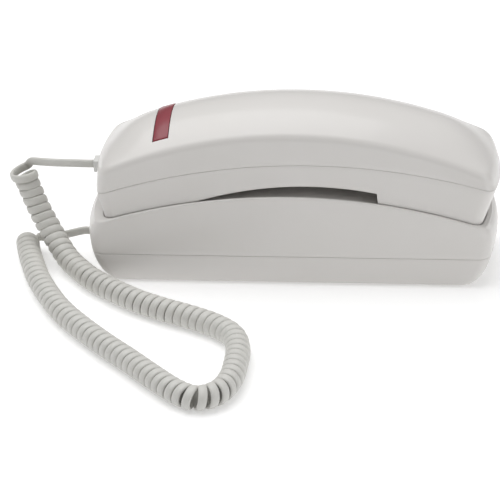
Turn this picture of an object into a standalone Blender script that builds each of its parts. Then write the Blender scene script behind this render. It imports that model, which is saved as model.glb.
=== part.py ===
"""Slimline wall phone, lying on a desk: an arched handset face down on a low base, joined by a curly cord.

Row frame: metres, +Z up, +X towards the earpiece end. The origin is below the middle of the base, on the plane
that its rubber feet stand on. Every outline is symmetric about the XZ plane.
"""

import math

import bmesh
import bpy
from mathutils import Matrix, Vector

MM = 0.001
GAP = 0.3 * MM  # between pieces that touch
SLIDE_GAP = 0.4 * MM  # around a piece that travels in an opening

# Base
BASE_LENGTH = 219 * MM
BASE_WIDTH = 62 * MM
BASE_WALL = 2.4 * MM
BASE_CORNER = 6.5 * MM
BASE_BULGE = 4 * MM  # of each end, seen from above
BASE_PART_Z = 18 * MM  # height of the seam between tub and housing
BELLY_Z = 27 * MM  # height where the base is longest
END_TUCK = 14.4 * MM  # how far the ends draw in from the belly to the table
END_LEAN = 2.6 * MM  # how far the ends draw in from the belly to the rim
SIDE_TUCK = 2.6 * MM  # the same for the long sides, down to the table
RIM_APEX_Z = 53.1 * MM
RIM_RADIUS = 320 * MM  # of the arched deck
RIM_FILLET = 1.0 * MM
DECK_RECESS = 1.6 * MM  # of the cradle that the handset lies in
CRADLE_CLEARANCE = 0.5 * MM

FOOT_PROUD = 1.2 * MM
FOOT_RECESS = 0.9 * MM
FOOT_RADIUS = 5 * MM
FOOT_X = 80 * MM
FOOT_Y = 19 * MM

# Handset, with its ends and widths at the seam between its two shells
HANDSET_LEFT = -104.3 * MM
HANDSET_RIGHT = 110.5 * MM
HANDSET_WIDTH = 58.6 * MM
HANDSET_WALL = 2.2 * MM
HANDSET_CORNER = 7 * MM
HANDSET_BULGE = 4 * MM
LEFT_SLANT = 3.2 * MM  # how far the mouthpiece end draws in from the seam to the deck
RIGHT_SLANT = 6.4 * MM
TOP_DRAFT = 0.8 * MM
END_WALL_REACH = LEFT_SLANT + 2 * HANDSET_WALL  # space that the end wall takes, with its slant
SEAT_GAP = 0.6 * MM  # between the handset's ends and the deck
LOW_FILLET = 1.2 * MM
EDGE_RADIUS = 6 * MM  # of the rounding around the back
EDGE_SLOPE = math.radians(33)  # of the back, where its crown meets the rounding
EDGE_INSET = EDGE_RADIUS * (1 - math.sin(EDGE_SLOPE))
EDGE_RISE = EDGE_RADIUS * math.cos(EDGE_SLOPE)
EDGE_BAND = 1.6 * MM  # least height of wall between the seam and the rounding
ARCH_APEX_Z = 58.6 * MM  # of the underside between the two cups
ARCH_X = 10 * MM
ARCH_RADIUS = 180 * MM
SHOULDER_X = 46.2 * MM  # where the underside drops to the earpiece
SHOULDER_LENGTH = 0.9 * MM
SEAM_APEX_Z = 71.2 * MM
SEAM_X = 10 * MM
SEAM_RADIUS = 332 * MM
TOP_APEX_Z = 88.7 * MM
TOP_X = 2 * MM
TOP_RADIUS = 238 * MM

# The cups under the handset's ends, and the pockets they rest in
CUP_DEPTH = 5 * MM
CUP_CLEARANCE = 1 * MM
CUP_CORNER = 9 * MM
MOUTH_CUP = {"x": -79 * MM, "half_length": 13.5 * MM, "half_width": 21 * MM}
EAR_CUP = {"x": 76 * MM, "half_length": 20 * MM, "half_width": 22 * MM}

# Hook
PLUNGER_X = 61 * MM
PLUNGER_RADIUS = 3.6 * MM
PLUNGER_TRAVEL = 4 * MM
FLANGE_RADIUS = 5.6 * MM
FLANGE_HEIGHT = 1.6 * MM
SPRING_TURNS = 5
SPRING_WIRE = 0.5 * MM  # radius

# Keypad
KEYPAD_X = -3 * MM
KEYPAD_HALF_LENGTH = 36 * MM
KEYPAD_MARGIN = 4.6 * MM  # beside the keypad, up to the handset's side walls
KEYPAD_HALF_WIDTH = HANDSET_WIDTH / 2 - HANDSET_WALL - KEYPAD_MARGIN
KEYPAD_EDGE = 1.5 * MM  # between the outer columns and the keypad's sides
KEY_PITCH_X = 13.5 * MM
KEY_PITCH_Y = (KEYPAD_HALF_WIDTH - KEYPAD_EDGE) * 2 / 3
KEY_LENGTH = 7.6 * MM
KEY_SPACE = 3.4 * MM  # between the columns of keys
KEY_WIDTH = KEY_PITCH_Y - KEY_SPACE
KEY_TRAVEL = 1.5 * MM
KEY_RECESS = 0.2 * MM  # from the front shell's underside
KEY_LIP = 1.0 * MM  # how far a key's lip reaches behind the faceplate
PLATE_RECESS = 1.6 * MM
PLATE_THICK = 2.0 * MM
LIP_THICK = 1.4 * MM
MEMBRANE_THICK = 1.5 * MM
KEY_ROWS = (("1", "2", "3"), ("4", "5", "6"), ("7", "8", "9"), ("star", "0", "pound"), ("flash", None, "redial"))

# Message lens across the handset's back
LENS_X = -67 * MM
LENS_LENGTH = 8 * MM
LENS_MARGIN = 4.8 * MM  # beside the lens, up to the rounding around the back
LENS_DEPTH = 3.4 * MM
LENS_PROUD = 0.3 * MM

# Modular jacks and plugs
JACK_LENGTH = 13.4 * MM
JACK_WIDTH = 12.6 * MM
JACK_HEIGHT = 10.4 * MM
PLUG_LENGTH = 12 * MM
PLUG_WIDTH = 7.7 * MM
PLUG_HEIGHT = 6.6 * MM
PLUG_PROUD = 2 * MM
HANDSET_JACK_Z = 56.3 * MM
BASE_JACK_Z = 15.5 * MM
LINE_JACK_WIDTH = 13 * MM
LINE_JACK_DEPTH = 11 * MM
LINE_JACK_Z = 9.2 * MM
LINE_SOCKET_WIDTH = 10 * MM
LINE_SOCKET_HEIGHT = 7 * MM

# Inside the base
BOARD_THICK = 1.6 * MM
BASE_BOARD_X = 35 * MM
BASE_BOARD_LENGTH = 100 * MM
BASE_BOARD_WIDTH = 33 * MM
BASE_BOARD_Z = 8 * MM
LINE_JACK_X = BASE_BOARD_X - BASE_BOARD_LENGTH / 2 - LINE_JACK_WIDTH / 2 - 2 * GAP
RINGER_X = -42 * MM
RINGER_RADIUS = 16 * MM
RINGER_HEIGHT = 6 * MM
SWITCH_LENGTH = 16 * MM
SWITCH_WIDTH = 13 * MM
SWITCH_HEIGHT = 10 * MM
SCREW_X = 48 * MM
SCREW_Y = 21.5 * MM
SCREW_RADIUS = 1.4 * MM
SCREW_LENGTH = 9 * MM
HEAD_RADIUS = 2.8 * MM
HEAD_HEIGHT = 1.1 * MM
BOSS_RADIUS = 3.6 * MM
KEYHOLE_X = 66 * MM
SLIDER_X = -62 * MM
SLIDER_Z = 26 * MM
SLIDER_LENGTH = 6 * MM
SLIDER_HEIGHT = 3 * MM
SLIDER_TRAVEL = 4 * MM  # each way

# Inside the handset
RECEIVER_RADIUS = 16 * MM
RECEIVER_HEIGHT = 10 * MM
MICROPHONE_RADIUS = 9 * MM
MICROPHONE_HEIGHT = 5 * MM
HANDSET_BOARD_LENGTH = 74 * MM
HANDSET_BOARD_WIDTH = HANDSET_WIDTH - 2 * HANDSET_WALL - 12.2 * MM
BALLAST_X = 14 * MM
BALLAST_SIZE = (46 * MM, 22 * MM, 5 * MM)
HANDSET_SCREW_X = -53 * MM
HANDSET_SCREW_Y = 15 * MM
LED_RADIUS = 1.5 * MM

# Curly cord: its coil's outer diameter, its straight tails, and the route of both
COIL_RADIUS = 6.5 * MM
TAIL_RADIUS = 1.6 * MM
COIL_ROUTE_MM = (
    (-146.3, 4.8, 49), (-144.5, 4.2, 43), (-142, 3, 36.5), (-137.8, 0, 27.5), (-132.7, -4, 19.4),
    (-126.8, -10.5, 12.5), (-120.5, -19, 8.2), (-113.2, -28, 6.7), (-105, -38, 6.6), (-95.2, -47, 6.6),
    (-85.4, -55, 6.6), (-75, -62.3, 6.6), (-61.4, -69.8, 6.6), (-47, -76.8, 6.6), (-33.5, -85, 6.6),
    (-24, -95, 6.6), (-20.4, -108, 6.6), (-20.2, -122, 6.6), (-21.5, -136.5, 6.6), (-26.5, -149, 6.6),
    (-36.5, -154.6, 6.6), (-47, -149, 6.6), (-60, -136, 6.6), (-73.5, -121.3, 6.6), (-90, -104, 6.6),
    (-106, -85.5, 6.6), (-117.5, -70, 6.6), (-126.5, -54, 6.6), (-134, -38, 6.6), (-140, -21, 6.6),
    (-144.3, -7, 6.6), (-147, 4.2, 6.6),
)
HANDSET_TAIL_MM = ((-118, 0.5, 56.2), (-130, 2.5, 55.4), (-140.8, 7, 53.8))
BASE_TAIL_MM = ((-139.8, 4.4, 6.8), (-133, 2.4, 8.6), (-125.5, 0.8, 12.2))

# Mesh fineness
END_STEPS = 4
CORNER_STEPS = 4
SIDE_STEPS = 8
CUP_SIDE_STEPS = 2
ACROSS_STEPS = 6

COLORS = {
    "shell": ((0.76, 0.74, 0.71, 1), 0.38, 0.0),
    "key": ((0.80, 0.79, 0.76, 1), 0.42, 0.0),
    "faceplate": ((0.62, 0.60, 0.57, 1), 0.45, 0.0),
    "lens": ((0.45, 0.05, 0.07, 1), 0.15, 0.0),
    "rubber": ((0.05, 0.05, 0.05, 1), 0.85, 0.0),
    "board": ((0.05, 0.22, 0.10, 1), 0.5, 0.0),
    "steel": ((0.55, 0.56, 0.58, 1), 0.3, 1.0),
    "brass": ((0.72, 0.55, 0.25, 1), 0.35, 1.0),
    "black": ((0.03, 0.03, 0.03, 1), 0.5, 0.0),
    "clear": ((0.85, 0.87, 0.88, 1), 0.15, 0.0),
    "cord": ((0.70, 0.69, 0.66, 1), 0.5, 0.0),
    "membrane": ((0.35, 0.36, 0.38, 1), 0.8, 0.0),
}


# Heights of the curved surfaces

def sag(distance, radius):
    """How far an arc of this radius drops at this distance from its apex."""
    return radius - math.sqrt(radius * radius - distance * distance)


def rim_z(x):
    return RIM_APEX_Z - sag(x, RIM_RADIUS)


def deck_z(x):
    return rim_z(x) - DECK_RECESS


def seat_z(x):
    return deck_z(x) + SEAT_GAP


def smoothstep(t):
    t = min(max(t, 0.0), 1.0)
    return t * t * (3 - 2 * t)


def low_z(x):
    """The handset's underside: on the deck at both ends, arched over it in between."""
    arch = ARCH_APEX_Z - sag(x - ARCH_X, ARCH_RADIUS)
    lifted = max(arch - seat_z(x), 0.0) * (1 - smoothstep((x - SHOULDER_X) / SHOULDER_LENGTH))
    return seat_z(x) + lifted


def seam_z(x):
    return SEAM_APEX_Z - sag(x - SEAM_X, SEAM_RADIUS)


def top_z(x):
    return TOP_APEX_Z - sag(x - TOP_X, TOP_RADIUS)


CROWN_HALF_WIDTH = HANDSET_WIDTH / 2 - TOP_DRAFT - EDGE_INSET
CROWN = CROWN_HALF_WIDTH * math.tan(EDGE_SLOPE) / 2
LENS_WIDTH = 2 * (CROWN_HALF_WIDTH - LENS_MARGIN)


def back_z(x, y):
    """The crowned back of the handset, away from its ends."""
    return top_z(x) + CROWN * (1 - (y / CROWN_HALF_WIDTH) ** 2)


def shifted(height, dz):
    return lambda x: height(x) + dz


# Building blocks

def material(name):
    found = bpy.data.materials.get(name)
    if found:
        return found
    color, roughness, metallic = COLORS[name]
    made = bpy.data.materials.new(name)
    made.use_nodes = True
    made.diffuse_color = color
    shader = made.node_tree.nodes["Principled BSDF"]
    shader.inputs["Base Color"].default_value = color
    shader.inputs["Roughness"].default_value = roughness
    shader.inputs["Metallic"].default_value = metallic
    return made


def add(name, mesh, color, parent=None, sharp_deg=35):
    """Links a mesh as a named piece of the phone, shaded smooth between its sharp edges."""
    piece = bpy.data.objects.new(name, mesh)
    PHONE.objects.link(piece)
    mesh.materials.clear()
    mesh.materials.append(material(color))
    mesh.shade_smooth()
    mesh.set_sharp_from_angle(angle=math.radians(sharp_deg))
    piece.parent = parent
    return piece


def cutter(mesh):
    tool = bpy.data.objects.new("cutter", mesh)
    CUTTERS.objects.link(tool)
    tool.hide_render = True
    tool.display_type = "WIRE"
    return tool


def boolean(piece, mesh, operation="DIFFERENCE"):
    change = piece.modifiers.new(operation.lower(), "BOOLEAN")
    change.operation = operation
    change.solver = "EXACT"
    change.object = cutter(mesh)


def outline(left, right, half_width, corner, bulge, side_steps=SIDE_STEPS, stations=()):
    """A plan outline with bulged ends, rounded corners and straight sides; point k mirrors point -k in the XZ plane.

    Stations are places along X where its sides have a point as well.
    """
    middle, half = (left + right) / 2, (right - left) / 2
    corner = min(max(corner, 0.5 * MM), 0.9 * half_width)
    arc = (half_width ** 2 + bulge ** 2) / (2 * bulge)
    reach = math.asin((half_width - corner) / (arc - corner))
    corner_x = half - arc + (arc - corner) * math.cos(reach)
    end = []
    for k in range(END_STEPS):
        turn = reach * k / END_STEPS
        end.append((half - arc + arc * math.cos(turn), arc * math.sin(turn)))
    for k in range(CORNER_STEPS):
        turn = reach + (math.pi / 2 - reach) * k / CORNER_STEPS
        end.append((corner_x + corner * math.cos(turn), half_width - corner + corner * math.sin(turn)))
    side = [corner_x * (1 - k / side_steps) for k in range(2 * side_steps + 1)] + [x - middle for x in stations]
    upper = end + [(x, half_width) for x in sorted(side, reverse=True)] + [(-x, y) for x, y in reversed(end)]
    lower = [(x, -y) for x, y in reversed(upper[1:-1])]
    return [(middle + x, y) for x, y in upper + lower]


def bulge_drop(half_width, bulge, y):
    """How far a bulged end falls back from its foremost point at this distance from the middle."""
    return sag(y, (half_width ** 2 + bulge ** 2) / (2 * bulge))


def ring(points, height):
    return [Vector((x, y, height(x))) for x, y in points]


def end_distance(loop):
    """A function that says how far a point of the ring's plan is from its nearer end, along X."""
    half = [v.co for v in loop[:len(loop) // 2 + 1]]
    middle = (half[0].x + half[-1].x) / 2
    right = [p for p in half if p.x > middle]
    left = [p for p in reversed(half) if p.x <= middle]

    def end_x(side, y):
        for a, b in zip(side, side[1:]):
            if b.y >= y and b.y > a.y:
                return a.x + (b.x - a.x) * (y - a.y) / (b.y - a.y)
        return side[-1].x

    return lambda x, y: min(end_x(right, abs(y)) - x, x - end_x(left, abs(y)))


def cap(bm, loop, crown):
    """Closes a ring with a grid across it, raised by crown along its middle and easing down to both ends."""
    n = len(loop)
    widest = max(v.co.y for v in loop)
    distance = end_distance(loop)
    columns = []
    for k in range(n // 2 + 1):
        near, far = loop[k], loop[(n - k) % n]
        if near is far:
            columns.append([near])
            continue
        column = [near]
        for j in range(1, ACROSS_STEPS):
            y = near.co.y * (1 - 2 * j / ACROSS_STEPS)
            run_in = max(1 - distance(near.co.x, y) / widest, 0)
            rise = crown * (1 - (y / widest) ** 2) * (1 - run_in ** 2)
            column.append(bm.verts.new((near.co.x, y, near.co.z + rise)))
        columns.append(column + [far])
    for left, right in zip(columns, columns[1:]):
        for j in range(ACROSS_STEPS):
            corners = [left[min(j, len(left) - 1)], left[min(j + 1, len(left) - 1)]]
            corners += [right[min(j + 1, len(right) - 1)], right[min(j, len(right) - 1)]]
            bm.faces.new(list(dict.fromkeys(corners)))


def loft(name, rings, crown_first=0.0, crown_last=0.0):
    """A closed body skinned over rings of equal length, with a cap on the first and the last ring."""
    bm = bmesh.new()
    loops = [[bm.verts.new(point) for point in points] for points in rings]
    n = len(loops[0])
    for one, two in zip(loops, loops[1:]):
        for k in range(n):
            bm.faces.new((one[k], one[(k + 1) % n], two[(k + 1) % n], two[k]))
    cap(bm, loops[0], crown_first)
    cap(bm, loops[-1], crown_last)
    return finished(bm, name)


def finished(bm, name):
    bmesh.ops.recalc_face_normals(bm, faces=bm.faces)
    mesh = bpy.data.meshes.new(name)
    bm.to_mesh(mesh)
    bm.free()
    return mesh


def box(low, high):
    bm = bmesh.new()
    bmesh.ops.create_cube(bm, size=1)
    for v in bm.verts:
        v.co = Vector([(a + b) / 2 + c * (b - a) for a, b, c in zip(low, high, v.co)])
    return finished(bm, "box")


def box_at(center, size):
    low = [c - s / 2 for c, s in zip(center, size)]
    high = [c + s / 2 for c, s in zip(center, size)]
    return box(low, high)


def cylinder(x, y, z_low, z_high, radius, sides=24):
    bm = bmesh.new()
    place = Matrix.Translation((x, y, (z_low + z_high) / 2))
    bmesh.ops.create_cone(bm, cap_ends=True, segments=sides, radius1=radius, radius2=radius,
                          depth=z_high - z_low, matrix=place)
    return finished(bm, "cylinder")


def joined(meshes):
    """One mesh of several closed bodies, for a cutter that cuts in many places."""
    bm = bmesh.new()
    for mesh in meshes:
        bm.from_mesh(mesh)
    return finished(bm, "joined")


def turned(name, profile, x, y, color, segments=24, parent=None):
    """A piece turned about a vertical axis: its profile runs from the top of the axis down its outer side."""
    mesh = bpy.data.meshes.new(name)
    edges = [(k, k + 1) for k in range(len(profile) - 1)]
    mesh.from_pydata([(r, 0, z) for r, z in profile], edges, [])
    piece = add(name, mesh, color, parent)
    piece.location = (x, y, 0)
    screw = piece.modifiers.new("turn", "SCREW")
    screw.axis = "Z"
    screw.steps = segments
    screw.render_steps = segments
    screw.use_merge_vertices = True
    screw.merge_threshold = 1e-5
    return piece


def bevel(piece, width, segments=2):
    rounding = piece.modifiers.new("bevel", "BEVEL")
    rounding.width = width
    rounding.segments = segments
    rounding.limit_method = "ANGLE"


def profile_block(name, points, half_width):
    """A block with this outline in XZ, extruded both ways along Y."""
    bm = bmesh.new()
    face = bm.faces.new([bm.verts.new((x, -half_width, z)) for x, z in points])
    grown = bmesh.ops.extrude_face_region(bm, geom=[face])
    for item in grown["geom"]:
        if isinstance(item, bmesh.types.BMVert):
            item.co.y = half_width
    return finished(bm, name)


def arched_slab(name, left, right, half_width, offset_low, offset_high, steps=8):
    """A slab that follows the handset's underside, between two heights above it."""
    stations = [left + (right - left) * k / steps for k in range(steps + 1)]
    lower = [(x, low_z(x) + offset_low) for x in stations]
    upper = [(x, low_z(x) + offset_high) for x in reversed(stations)]
    return profile_block(name, lower + upper, half_width)


def tube(name, points, radius, color, resolution=2, parent=None):
    curve = bpy.data.curves.new(name, "CURVE")
    curve.dimensions = "3D"
    curve.bevel_depth = radius
    curve.bevel_resolution = resolution
    curve.use_fill_caps = True
    curve.render_resolution_u = 0
    spline = curve.splines.new("POLY")
    spline.points.add(len(points) - 1)
    for target, point in zip(spline.points, points):
        target.co = (*point, 1)
    curve.materials.append(material(color))
    piece = bpy.data.objects.new(name, curve)
    PHONE.objects.link(piece)
    piece.parent = parent
    return piece


def smooth_route(points, spacing):
    """Points about this far apart along a Catmull-Rom curve through the route's own points."""
    padded = [2 * points[0] - points[1]] + points + [2 * points[-1] - points[-2]]
    route = []
    for a, b, c, d in zip(padded, padded[1:], padded[2:], padded[3:]):
        steps = max(1, round((c - b).length / spacing))
        for k in range(steps):
            t = k / steps
            route.append(0.5 * (2 * b + (c - a) * t + (2 * a - 5 * b + 4 * c - d) * t ** 2
                                + (3 * b - a - 3 * c + d) * t ** 3))
    return route + [points[-1]]


# Base

def base_end_inset(z):
    if z < BELLY_Z:
        return END_TUCK * (1 - math.sqrt(1 - ((BELLY_Z - z) / BELLY_Z) ** 2))
    return END_LEAN * ((z - BELLY_Z) / (rim_z(BASE_LENGTH / 2) - BELLY_Z)) ** 2


def base_side_inset(z):
    if z < BELLY_Z:
        return SIDE_TUCK * ((BELLY_Z - z) / BELLY_Z) ** 3
    return 0.0


def base_outline(z, inset=0.0):
    half = BASE_LENGTH / 2 - base_end_inset(z) - inset
    half_width = BASE_WIDTH / 2 - base_side_inset(z) - inset
    return outline(-half, half, half_width, BASE_CORNER - inset, BASE_BULGE)


def base_level(share):
    """The end height, and the height over x, of a level this far up from the seam to the rim."""
    seam = BASE_PART_Z + GAP / 2
    z_end = seam + share * (rim_z(BASE_LENGTH / 2) - seam)
    return z_end, lambda x: seam + share * (rim_z(x) - seam)


def cup_outline(cup, grow):
    return outline(cup["x"] - cup["half_length"] - grow, cup["x"] + cup["half_length"] + grow,
                   cup["half_width"] + grow, CUP_CORNER + grow, 0.12 * cup["half_length"], CUP_SIDE_STEPS)


def cup_block(cup, grow, low, high):
    points = cup_outline(cup, grow)
    return loft("cup", [ring(points, low), ring(points, high)])


def pocket_floor_z(x):
    return seat_z(x) - CUP_DEPTH - CUP_CLEARANCE


def jack_opening(x_low, x_high, z):
    """Space for a plug through an end wall."""
    half_width = PLUG_WIDTH / 2 + 2 * GAP
    half_height = PLUG_HEIGHT / 2 + 2 * GAP
    return box((x_low, -half_width, z - half_height), (x_high, half_width, z + half_height))


def make_base_housing():
    rim_end = base_level(1)[0]
    rings = [ring(base_outline(rim_end, RIM_FILLET), rim_z),
             ring(base_outline(rim_end, 0.3 * RIM_FILLET), shifted(rim_z, -0.3 * RIM_FILLET)),
             ring(base_outline(rim_end), shifted(rim_z, -RIM_FILLET))]
    for share in (0.72, 0.48, 0.24, 0.0):
        z_end, height = base_level(share)
        rings.append(ring(base_outline(z_end), height))
    for share in (0.0, 0.4):
        z_end, height = base_level(share)
        rings.append(ring(base_outline(z_end, BASE_WALL), height))
    rings.append(ring(base_outline(rim_end, BASE_WALL), shifted(deck_z, -BASE_WALL)))
    housing = add("base_housing", loft("base_housing", rings), "shell")
    for cup in (MOUTH_CUP, EAR_CUP):
        tub = cup_block(cup, CUP_CLEARANCE + BASE_WALL, shifted(pocket_floor_z, -BASE_WALL),
                        shifted(deck_z, -BASE_WALL / 2))
        boolean(housing, tub, "UNION")
        boolean(housing, cup_block(cup, CUP_CLEARANCE, pocket_floor_z, shifted(rim_z, 5 * MM)))
    cradle = handset_outline(0, -CRADLE_CLEARANCE)
    boolean(housing, loft("cradle", [ring(cradle, deck_z), ring(cradle, shifted(rim_z, 5 * MM))]))
    for x, y in base_screw_places():
        boss = cylinder(x, y, base_floor_top() + GAP, deck_z(abs(x) + BOSS_RADIUS) - BASE_WALL / 2, BOSS_RADIUS, 16)
        boolean(housing, boss, "UNION")
    holes = []
    for x, y in base_screw_places():
        holes.append(cylinder(x, y, FOOT_PROUD, base_floor_top() + SCREW_LENGTH + GAP, SCREW_RADIUS + GAP, 12))
    holes.append(cylinder(PLUNGER_X, 0, pocket_floor_z(PLUNGER_X) - 6 * MM, rim_z(PLUNGER_X),
                          PLUNGER_RADIUS + SLIDE_GAP))
    holes.append(jack_opening(-BASE_LENGTH, -BASE_LENGTH / 2 + END_TUCK, BASE_JACK_Z))
    slot_length = SLIDER_LENGTH / 2 + SLIDER_TRAVEL + SLIDE_GAP
    slot_height = SLIDER_HEIGHT / 2 + SLIDE_GAP
    holes.append(box((SLIDER_X - slot_length, BASE_WIDTH / 2 - 2 * BASE_WALL, SLIDER_Z - slot_height),
                     (SLIDER_X + slot_length, BASE_WIDTH, SLIDER_Z + slot_height)))
    boolean(housing, joined(holes))


def base_floor_top():
    return FOOT_PROUD + BASE_WALL


def base_screw_places():
    return [(sx * SCREW_X, sy * SCREW_Y) for sx in (-1, 1) for sy in (-1, 1)]


def foot_places():
    return [(sx * FOOT_X, sy * FOOT_Y) for sx in (-1, 1) for sy in (-1, 1)]


def cut_screw_seats(shell, places, z, depth):
    """Recesses for screw heads below this height, and the holes above them for the shanks."""
    boolean(shell, joined([cylinder(x, y, z - 2 * MM, z + HEAD_HEIGHT + GAP, HEAD_RADIUS + GAP, 16)
                           for x, y in places]))
    boolean(shell, joined([cylinder(x, y, z + 0.5 * HEAD_HEIGHT, z + depth, SCREW_RADIUS + GAP, 12)
                           for x, y in places]))


def make_base_plate():
    top = BASE_PART_Z - GAP / 2
    heights = [FOOT_PROUD, 0.28 * top, 0.6 * top, top]
    rings = [ring(base_outline(z), lambda x, z=z: z) for z in heights]
    for z in (top, 0.6 * top, base_floor_top()):
        rings.append(ring(base_outline(z, BASE_WALL), lambda x, z=z: z))
    plate = add("base_plate", loft("base_plate", rings), "shell")
    posts = []
    for sx in (-1, 1):
        for sy in (-1, 1):
            x = BASE_BOARD_X + sx * (BASE_BOARD_LENGTH / 2 - 5 * MM)
            y = sy * (BASE_BOARD_WIDTH / 2 - 4 * MM)
            posts.append(cylinder(x, y, base_floor_top() - BASE_WALL / 2, BASE_BOARD_Z - GAP, 2.5 * MM, 12))
    boolean(plate, joined(posts), "UNION")
    holes = [cylinder(x, y, 0, FOOT_PROUD + FOOT_RECESS, FOOT_RADIUS + GAP) for x, y in foot_places()]
    holes.append(jack_opening(-BASE_LENGTH, -BASE_LENGTH / 2 + END_TUCK, BASE_JACK_Z))
    holes.append(box_at((LINE_JACK_X, BASE_WIDTH / 2, LINE_JACK_Z),
                        (LINE_SOCKET_WIDTH + 2 * GAP, 4 * BASE_WALL, LINE_SOCKET_HEIGHT + 2 * GAP)))
    boolean(plate, joined(holes))
    cut_screw_seats(plate, base_screw_places(), FOOT_PROUD, 2 * BASE_WALL)
    for sx in (-1, 1):
        x = sx * KEYHOLE_X
        round_part = cylinder(x, 0, 0, 2 * base_floor_top(), 4.2 * MM)
        slot = box((x, -2.1 * MM, 0), (x + 9 * MM, 2.1 * MM, 2 * base_floor_top()))
        boolean(plate, round_part)
        boolean(plate, slot)


def make_feet_and_screws():
    for k, (x, y) in enumerate(foot_places(), 1):
        height = FOOT_PROUD + FOOT_RECESS - GAP
        profile = [(0, height), (FOOT_RADIUS, height), (FOOT_RADIUS, 0.4 * MM), (FOOT_RADIUS - 0.5 * MM, 0), (0, 0)]
        turned(f"foot_{k}", profile, x, y, "rubber")
    for k, (x, y) in enumerate(base_screw_places(), 1):
        make_screw(f"base_screw_{k}", x, y, FOOT_PROUD + 0.1 * MM, "steel")


def make_screw(name, x, y, z, color, parent=None):
    """A pan screw driven upwards, its head's face at z."""
    head = z + HEAD_HEIGHT
    tip = head + SCREW_LENGTH
    profile = [(0, tip), (0.5 * SCREW_RADIUS, tip), (SCREW_RADIUS, tip - SCREW_RADIUS), (SCREW_RADIUS, head),
               (HEAD_RADIUS, head), (HEAD_RADIUS, z + 0.2 * MM), (HEAD_RADIUS - 0.3 * MM, z), (0, z)]
    turned(name, profile, x, y, color, 16, parent)


def plunger_top_z():
    """Just under the lowest point of the ear cup over the plunger."""
    return seat_z(PLUNGER_X + PLUNGER_RADIUS) - CUP_DEPTH - GAP


def switch_top_z():
    return BASE_BOARD_Z + BOARD_THICK + GAP + SWITCH_HEIGHT


def make_hook():
    top = plunger_top_z()
    floor_under = pocket_floor_z(PLUNGER_X + FLANGE_RADIUS) - BASE_WALL
    flange_top = floor_under - PLUNGER_TRAVEL - SLIDE_GAP
    flange_low = flange_top - FLANGE_HEIGHT
    stem_low = switch_top_z() + 2 * GAP
    stem = 0.6 * PLUNGER_RADIUS
    profile = [(0, top), (PLUNGER_RADIUS - 0.6 * MM, top), (PLUNGER_RADIUS, top - 0.6 * MM),
               (PLUNGER_RADIUS, flange_top), (FLANGE_RADIUS, flange_top), (FLANGE_RADIUS, flange_low),
               (stem, flange_low), (stem, stem_low), (0, stem_low)]
    turned("hook_plunger", profile, PLUNGER_X, 0, "key")
    low = switch_top_z() + GAP + SPRING_WIRE
    high = flange_low - GAP - SPRING_WIRE
    radius = FLANGE_RADIUS - 1.5 * SPRING_WIRE
    turns = []
    steps = 10 * SPRING_TURNS
    for k in range(steps + 1):
        angle = 2 * math.pi * k / 10
        turns.append(Vector((PLUNGER_X + radius * math.cos(angle), radius * math.sin(angle),
                             low + (high - low) * k / steps)))
    tube("hook_spring", turns, SPRING_WIRE, "steel", 1)
    board_top = BASE_BOARD_Z + BOARD_THICK + GAP
    body = box((PLUNGER_X - SWITCH_LENGTH / 2, -SWITCH_WIDTH / 2, board_top),
               (PLUNGER_X + SWITCH_LENGTH / 2, SWITCH_WIDTH / 2, board_top + SWITCH_HEIGHT))
    bevel(add("hook_switch_body", body, "black"), 0.6 * MM, 1)


def make_base_inside():
    board = box_at((BASE_BOARD_X, 0, BASE_BOARD_Z + BOARD_THICK / 2),
                   (BASE_BOARD_LENGTH, BASE_BOARD_WIDTH, BOARD_THICK))
    add("base_circuit_board", board, "board")
    low = base_floor_top() + GAP
    high = low + RINGER_HEIGHT
    profile = [(0, high), (0.35 * RINGER_RADIUS, high), (0.4 * RINGER_RADIUS, high - 1 * MM),
               (RINGER_RADIUS, high - 1 * MM), (RINGER_RADIUS, low), (0, low)]
    turned("ringer_disc", profile, RINGER_X, 0, "brass", 32)
    inner = BASE_WIDTH / 2 - BASE_WALL - SLIDE_GAP
    knob = box((SLIDER_X - SLIDER_LENGTH / 2, inner - 1.5 * MM, SLIDER_Z - SLIDER_HEIGHT / 2),
               (SLIDER_X + SLIDER_LENGTH / 2, BASE_WIDTH / 2 - GAP, SLIDER_Z + SLIDER_HEIGHT / 2))
    slider = add("ringer_volume_slider", knob, "key")
    plate = box_at((SLIDER_X, inner - 1 * MM, SLIDER_Z), (2 * SLIDER_LENGTH, 2 * MM, 2.4 * SLIDER_HEIGHT))
    boolean(slider, plate, "UNION")
    outer = BASE_WIDTH / 2 - base_side_inset(FOOT_PROUD) - BASE_WALL - GAP
    body = box((LINE_JACK_X - LINE_JACK_WIDTH / 2, outer - LINE_JACK_DEPTH, base_floor_top() + GAP),
               (LINE_JACK_X + LINE_JACK_WIDTH / 2, outer, BASE_PART_Z - 1 * MM))
    jack = add("line_jack", body, "black")
    boolean(jack, box_at((LINE_JACK_X, outer, LINE_JACK_Z),
                         (LINE_SOCKET_WIDTH, 1.7 * LINE_JACK_DEPTH, LINE_SOCKET_HEIGHT)))


def make_jack(name, x_outer, z, parent=None):
    """A modular jack whose mouth faces -X."""
    body = box((x_outer, -JACK_WIDTH / 2, z - JACK_HEIGHT / 2),
               (x_outer + JACK_LENGTH, JACK_WIDTH / 2, z + JACK_HEIGHT / 2))
    jack = add(name, body, "black", parent)
    boolean(jack, box_at((x_outer, 0, z), (1.8 * JACK_LENGTH, PLUG_WIDTH + 2 * GAP, PLUG_HEIGHT + 2 * GAP)))


def base_jack_x():
    """Just inside the end wall, at the jack's lowest and widest corners."""
    inset = base_end_inset(0.6 * (BASE_JACK_Z - JACK_HEIGHT / 2))
    return -BASE_LENGTH / 2 + inset + BASE_WALL + bulge_drop(BASE_WIDTH / 2, BASE_BULGE, JACK_WIDTH / 2) + GAP


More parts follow.
